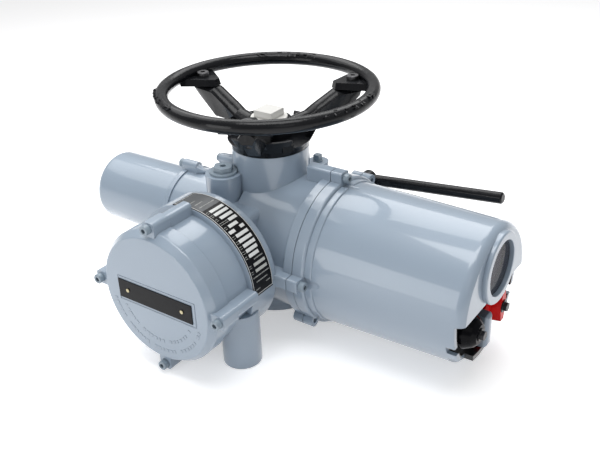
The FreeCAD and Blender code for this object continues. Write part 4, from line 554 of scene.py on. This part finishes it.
def cover_marks():
    """The line and the arcs, raised on the terminal cover's front."""
    mesh = bmesh.new()
    for side in (1, -1):
        edge = rectangle(LINE_MIDDLE, side * LINE_TALL / 2, LINE_WIDE, LINE_STROKE)
        slab(mesh, edge, LINE_HEIGHT, on_terminal_face)
    for side in (-1, 1):
        edge = rectangle(LINE_MIDDLE + side * LINE_WIDE / 2, 0, LINE_STROKE, LINE_TALL)
        slab(mesh, edge, LINE_HEIGHT, on_terminal_face)
    for radius, start, end, step in ARCS:
        for i in range(math.ceil((end - start) / step)):
            if i % ARC_RUN == ARC_GAP:
                continue
            turn = math.radians(start + i * step)
            out = Vector((math.cos(turn), math.sin(turn)))
            along = Vector((-out.y, out.x)) * ARC_HALVES[i % len(ARC_HALVES)]
            dash = [out * (radius + b * ARC_TALL_HALF) + along * a for a, b in CORNERS]
            slab(mesh, dash, ARC_HEIGHT, on_terminal_face)
    piece("cover_marks", mesh, "actuator", "case_paint")


cover_marks()


# Floor, light and camera: places and sizes are in metres, the camera's angles in degrees

WHITE = (1, 1, 1, 1)
FLOOR_SIZE = 60
FLOOR_DROP = 0.3 * MM
FLOOR_COLOR = (0.93, 0.93, 0.94)
FLOOR_GLOW = 0.45
WORLD_LIGHT = 0.38
LAMPS = (               # name, place, aim, wide, tall, power in watts
    ("back_box", (-0.45, 0.78, 1.4), (0.2, -0.05, 0.15), 1.6, 1.0, 14.5),
    ("left_box", (-0.96, -0.08, 1.33), (0, 0, 0.18), 1.0, 0.9, 5),
    ("top_box", (0.25, -0.25, 1.5), (0.1, 0, 0.15), 0.9, 0.7, 9),
    ("front_box", (-0.2, -1.2, 0.36), (0.2, -0.1, 0.12), 0.5, 0.6, 2.4),
    ("right_box", (1.2, -0.9, 1.0), (0.1, 0, 0.15), 0.5, 0.7, 0.6),
)
AZIMUTH = 35.76
ELEVATION = 28.16
ROLL = -2.09
EYE = (0.6369, -0.8228, 0.6689)
PHOTO_PIXELS = 600      # the photograph's width
FOCAL_PIXELS = 813.1
SHIFT_PIXELS = (0.3, 0.4)
SENSOR_WIDTH = 36       # millimetres, as Blender has it
CLIP_START = 10 * MM


def stage():
    """A pale floor that glows for the camera, for reflections and behind glass only."""
    bpy.ops.mesh.primitive_plane_add(size=FLOOR_SIZE, location=(0, 0, -FLOOR_DROP))
    floor = bpy.context.object
    floor.name = "floor"
    s = Shader("floor")
    path = s.node("ShaderNodeLightPath")
    seen = s.calc("MAXIMUM", path.outputs["Is Camera Ray"], path.outputs["Is Glossy Ray"])
    seen = s.calc("MAXIMUM", seen, path.outputs["Is Transmission Ray"])
    s.feed(s.surface.inputs["Emission Strength"], s.product(seen, FLOOR_GLOW))
    s.finish(FLOOR_COLOR, rough=0.9, bevel=0, Emission_Color=WHITE, Specular_IOR_Level=0.1)
    floor.data.materials.append(s.material)


def world():
    """Even white light from all sides."""
    scene_world = bpy.data.worlds.new("studio")
    bpy.context.scene.world = scene_world
    scene_world.use_nodes = True
    back = scene_world.node_tree.nodes["Background"]
    back.inputs["Color"].default_value = WHITE
    back.inputs["Strength"].default_value = WORLD_LIGHT


def softbox(name, place, aim, wide, tall, power):
    """A rectangular lamp that points at a place."""
    data = bpy.data.lights.new(name, "AREA")
    data.shape = "RECTANGLE"
    data.size = wide
    data.size_y = tall
    data.energy = power
    lamp = bpy.data.objects.new(name, data)
    bpy.context.scene.collection.objects.link(lamp)
    lamp.location = place
    lamp.rotation_euler = (Vector(aim) - Vector(place)).to_track_quat("-Z", "Y").to_euler()


def camera():
    """The camera that fits the photograph."""
    azimuth, elevation, roll = (math.radians(angle) for angle in (AZIMUTH, ELEVATION, ROLL))
    back = Vector((math.sin(azimuth) * math.cos(elevation), -math.cos(azimuth) * math.cos(elevation),
                   math.sin(elevation)))
    level = Vector((math.cos(azimuth), math.sin(azimuth), 0))
    up = back.cross(level)
    right = level * math.cos(roll) + up * math.sin(roll)
    top = up * math.cos(roll) - level * math.sin(roll)
    data = bpy.data.cameras.new("camera")
    data.sensor_width = SENSOR_WIDTH
    data.lens = FOCAL_PIXELS * SENSOR_WIDTH / PHOTO_PIXELS
    data.shift_x, data.shift_y = (shift / PHOTO_PIXELS for shift in SHIFT_PIXELS)
    data.clip_start = CLIP_START
    view = bpy.data.objects.new("camera", data)
    bpy.context.scene.collection.objects.link(view)
    turned = Matrix((right, top, back)).transposed().to_4x4()
    view.matrix_world = Matrix.Translation(EYE) @ turned
    bpy.context.scene.camera = view


stage()
world()
for lamp in LAMPS:
    softbox(*lamp)
camera()
bpy.context.scene.view_settings.view_transform = "Standard"
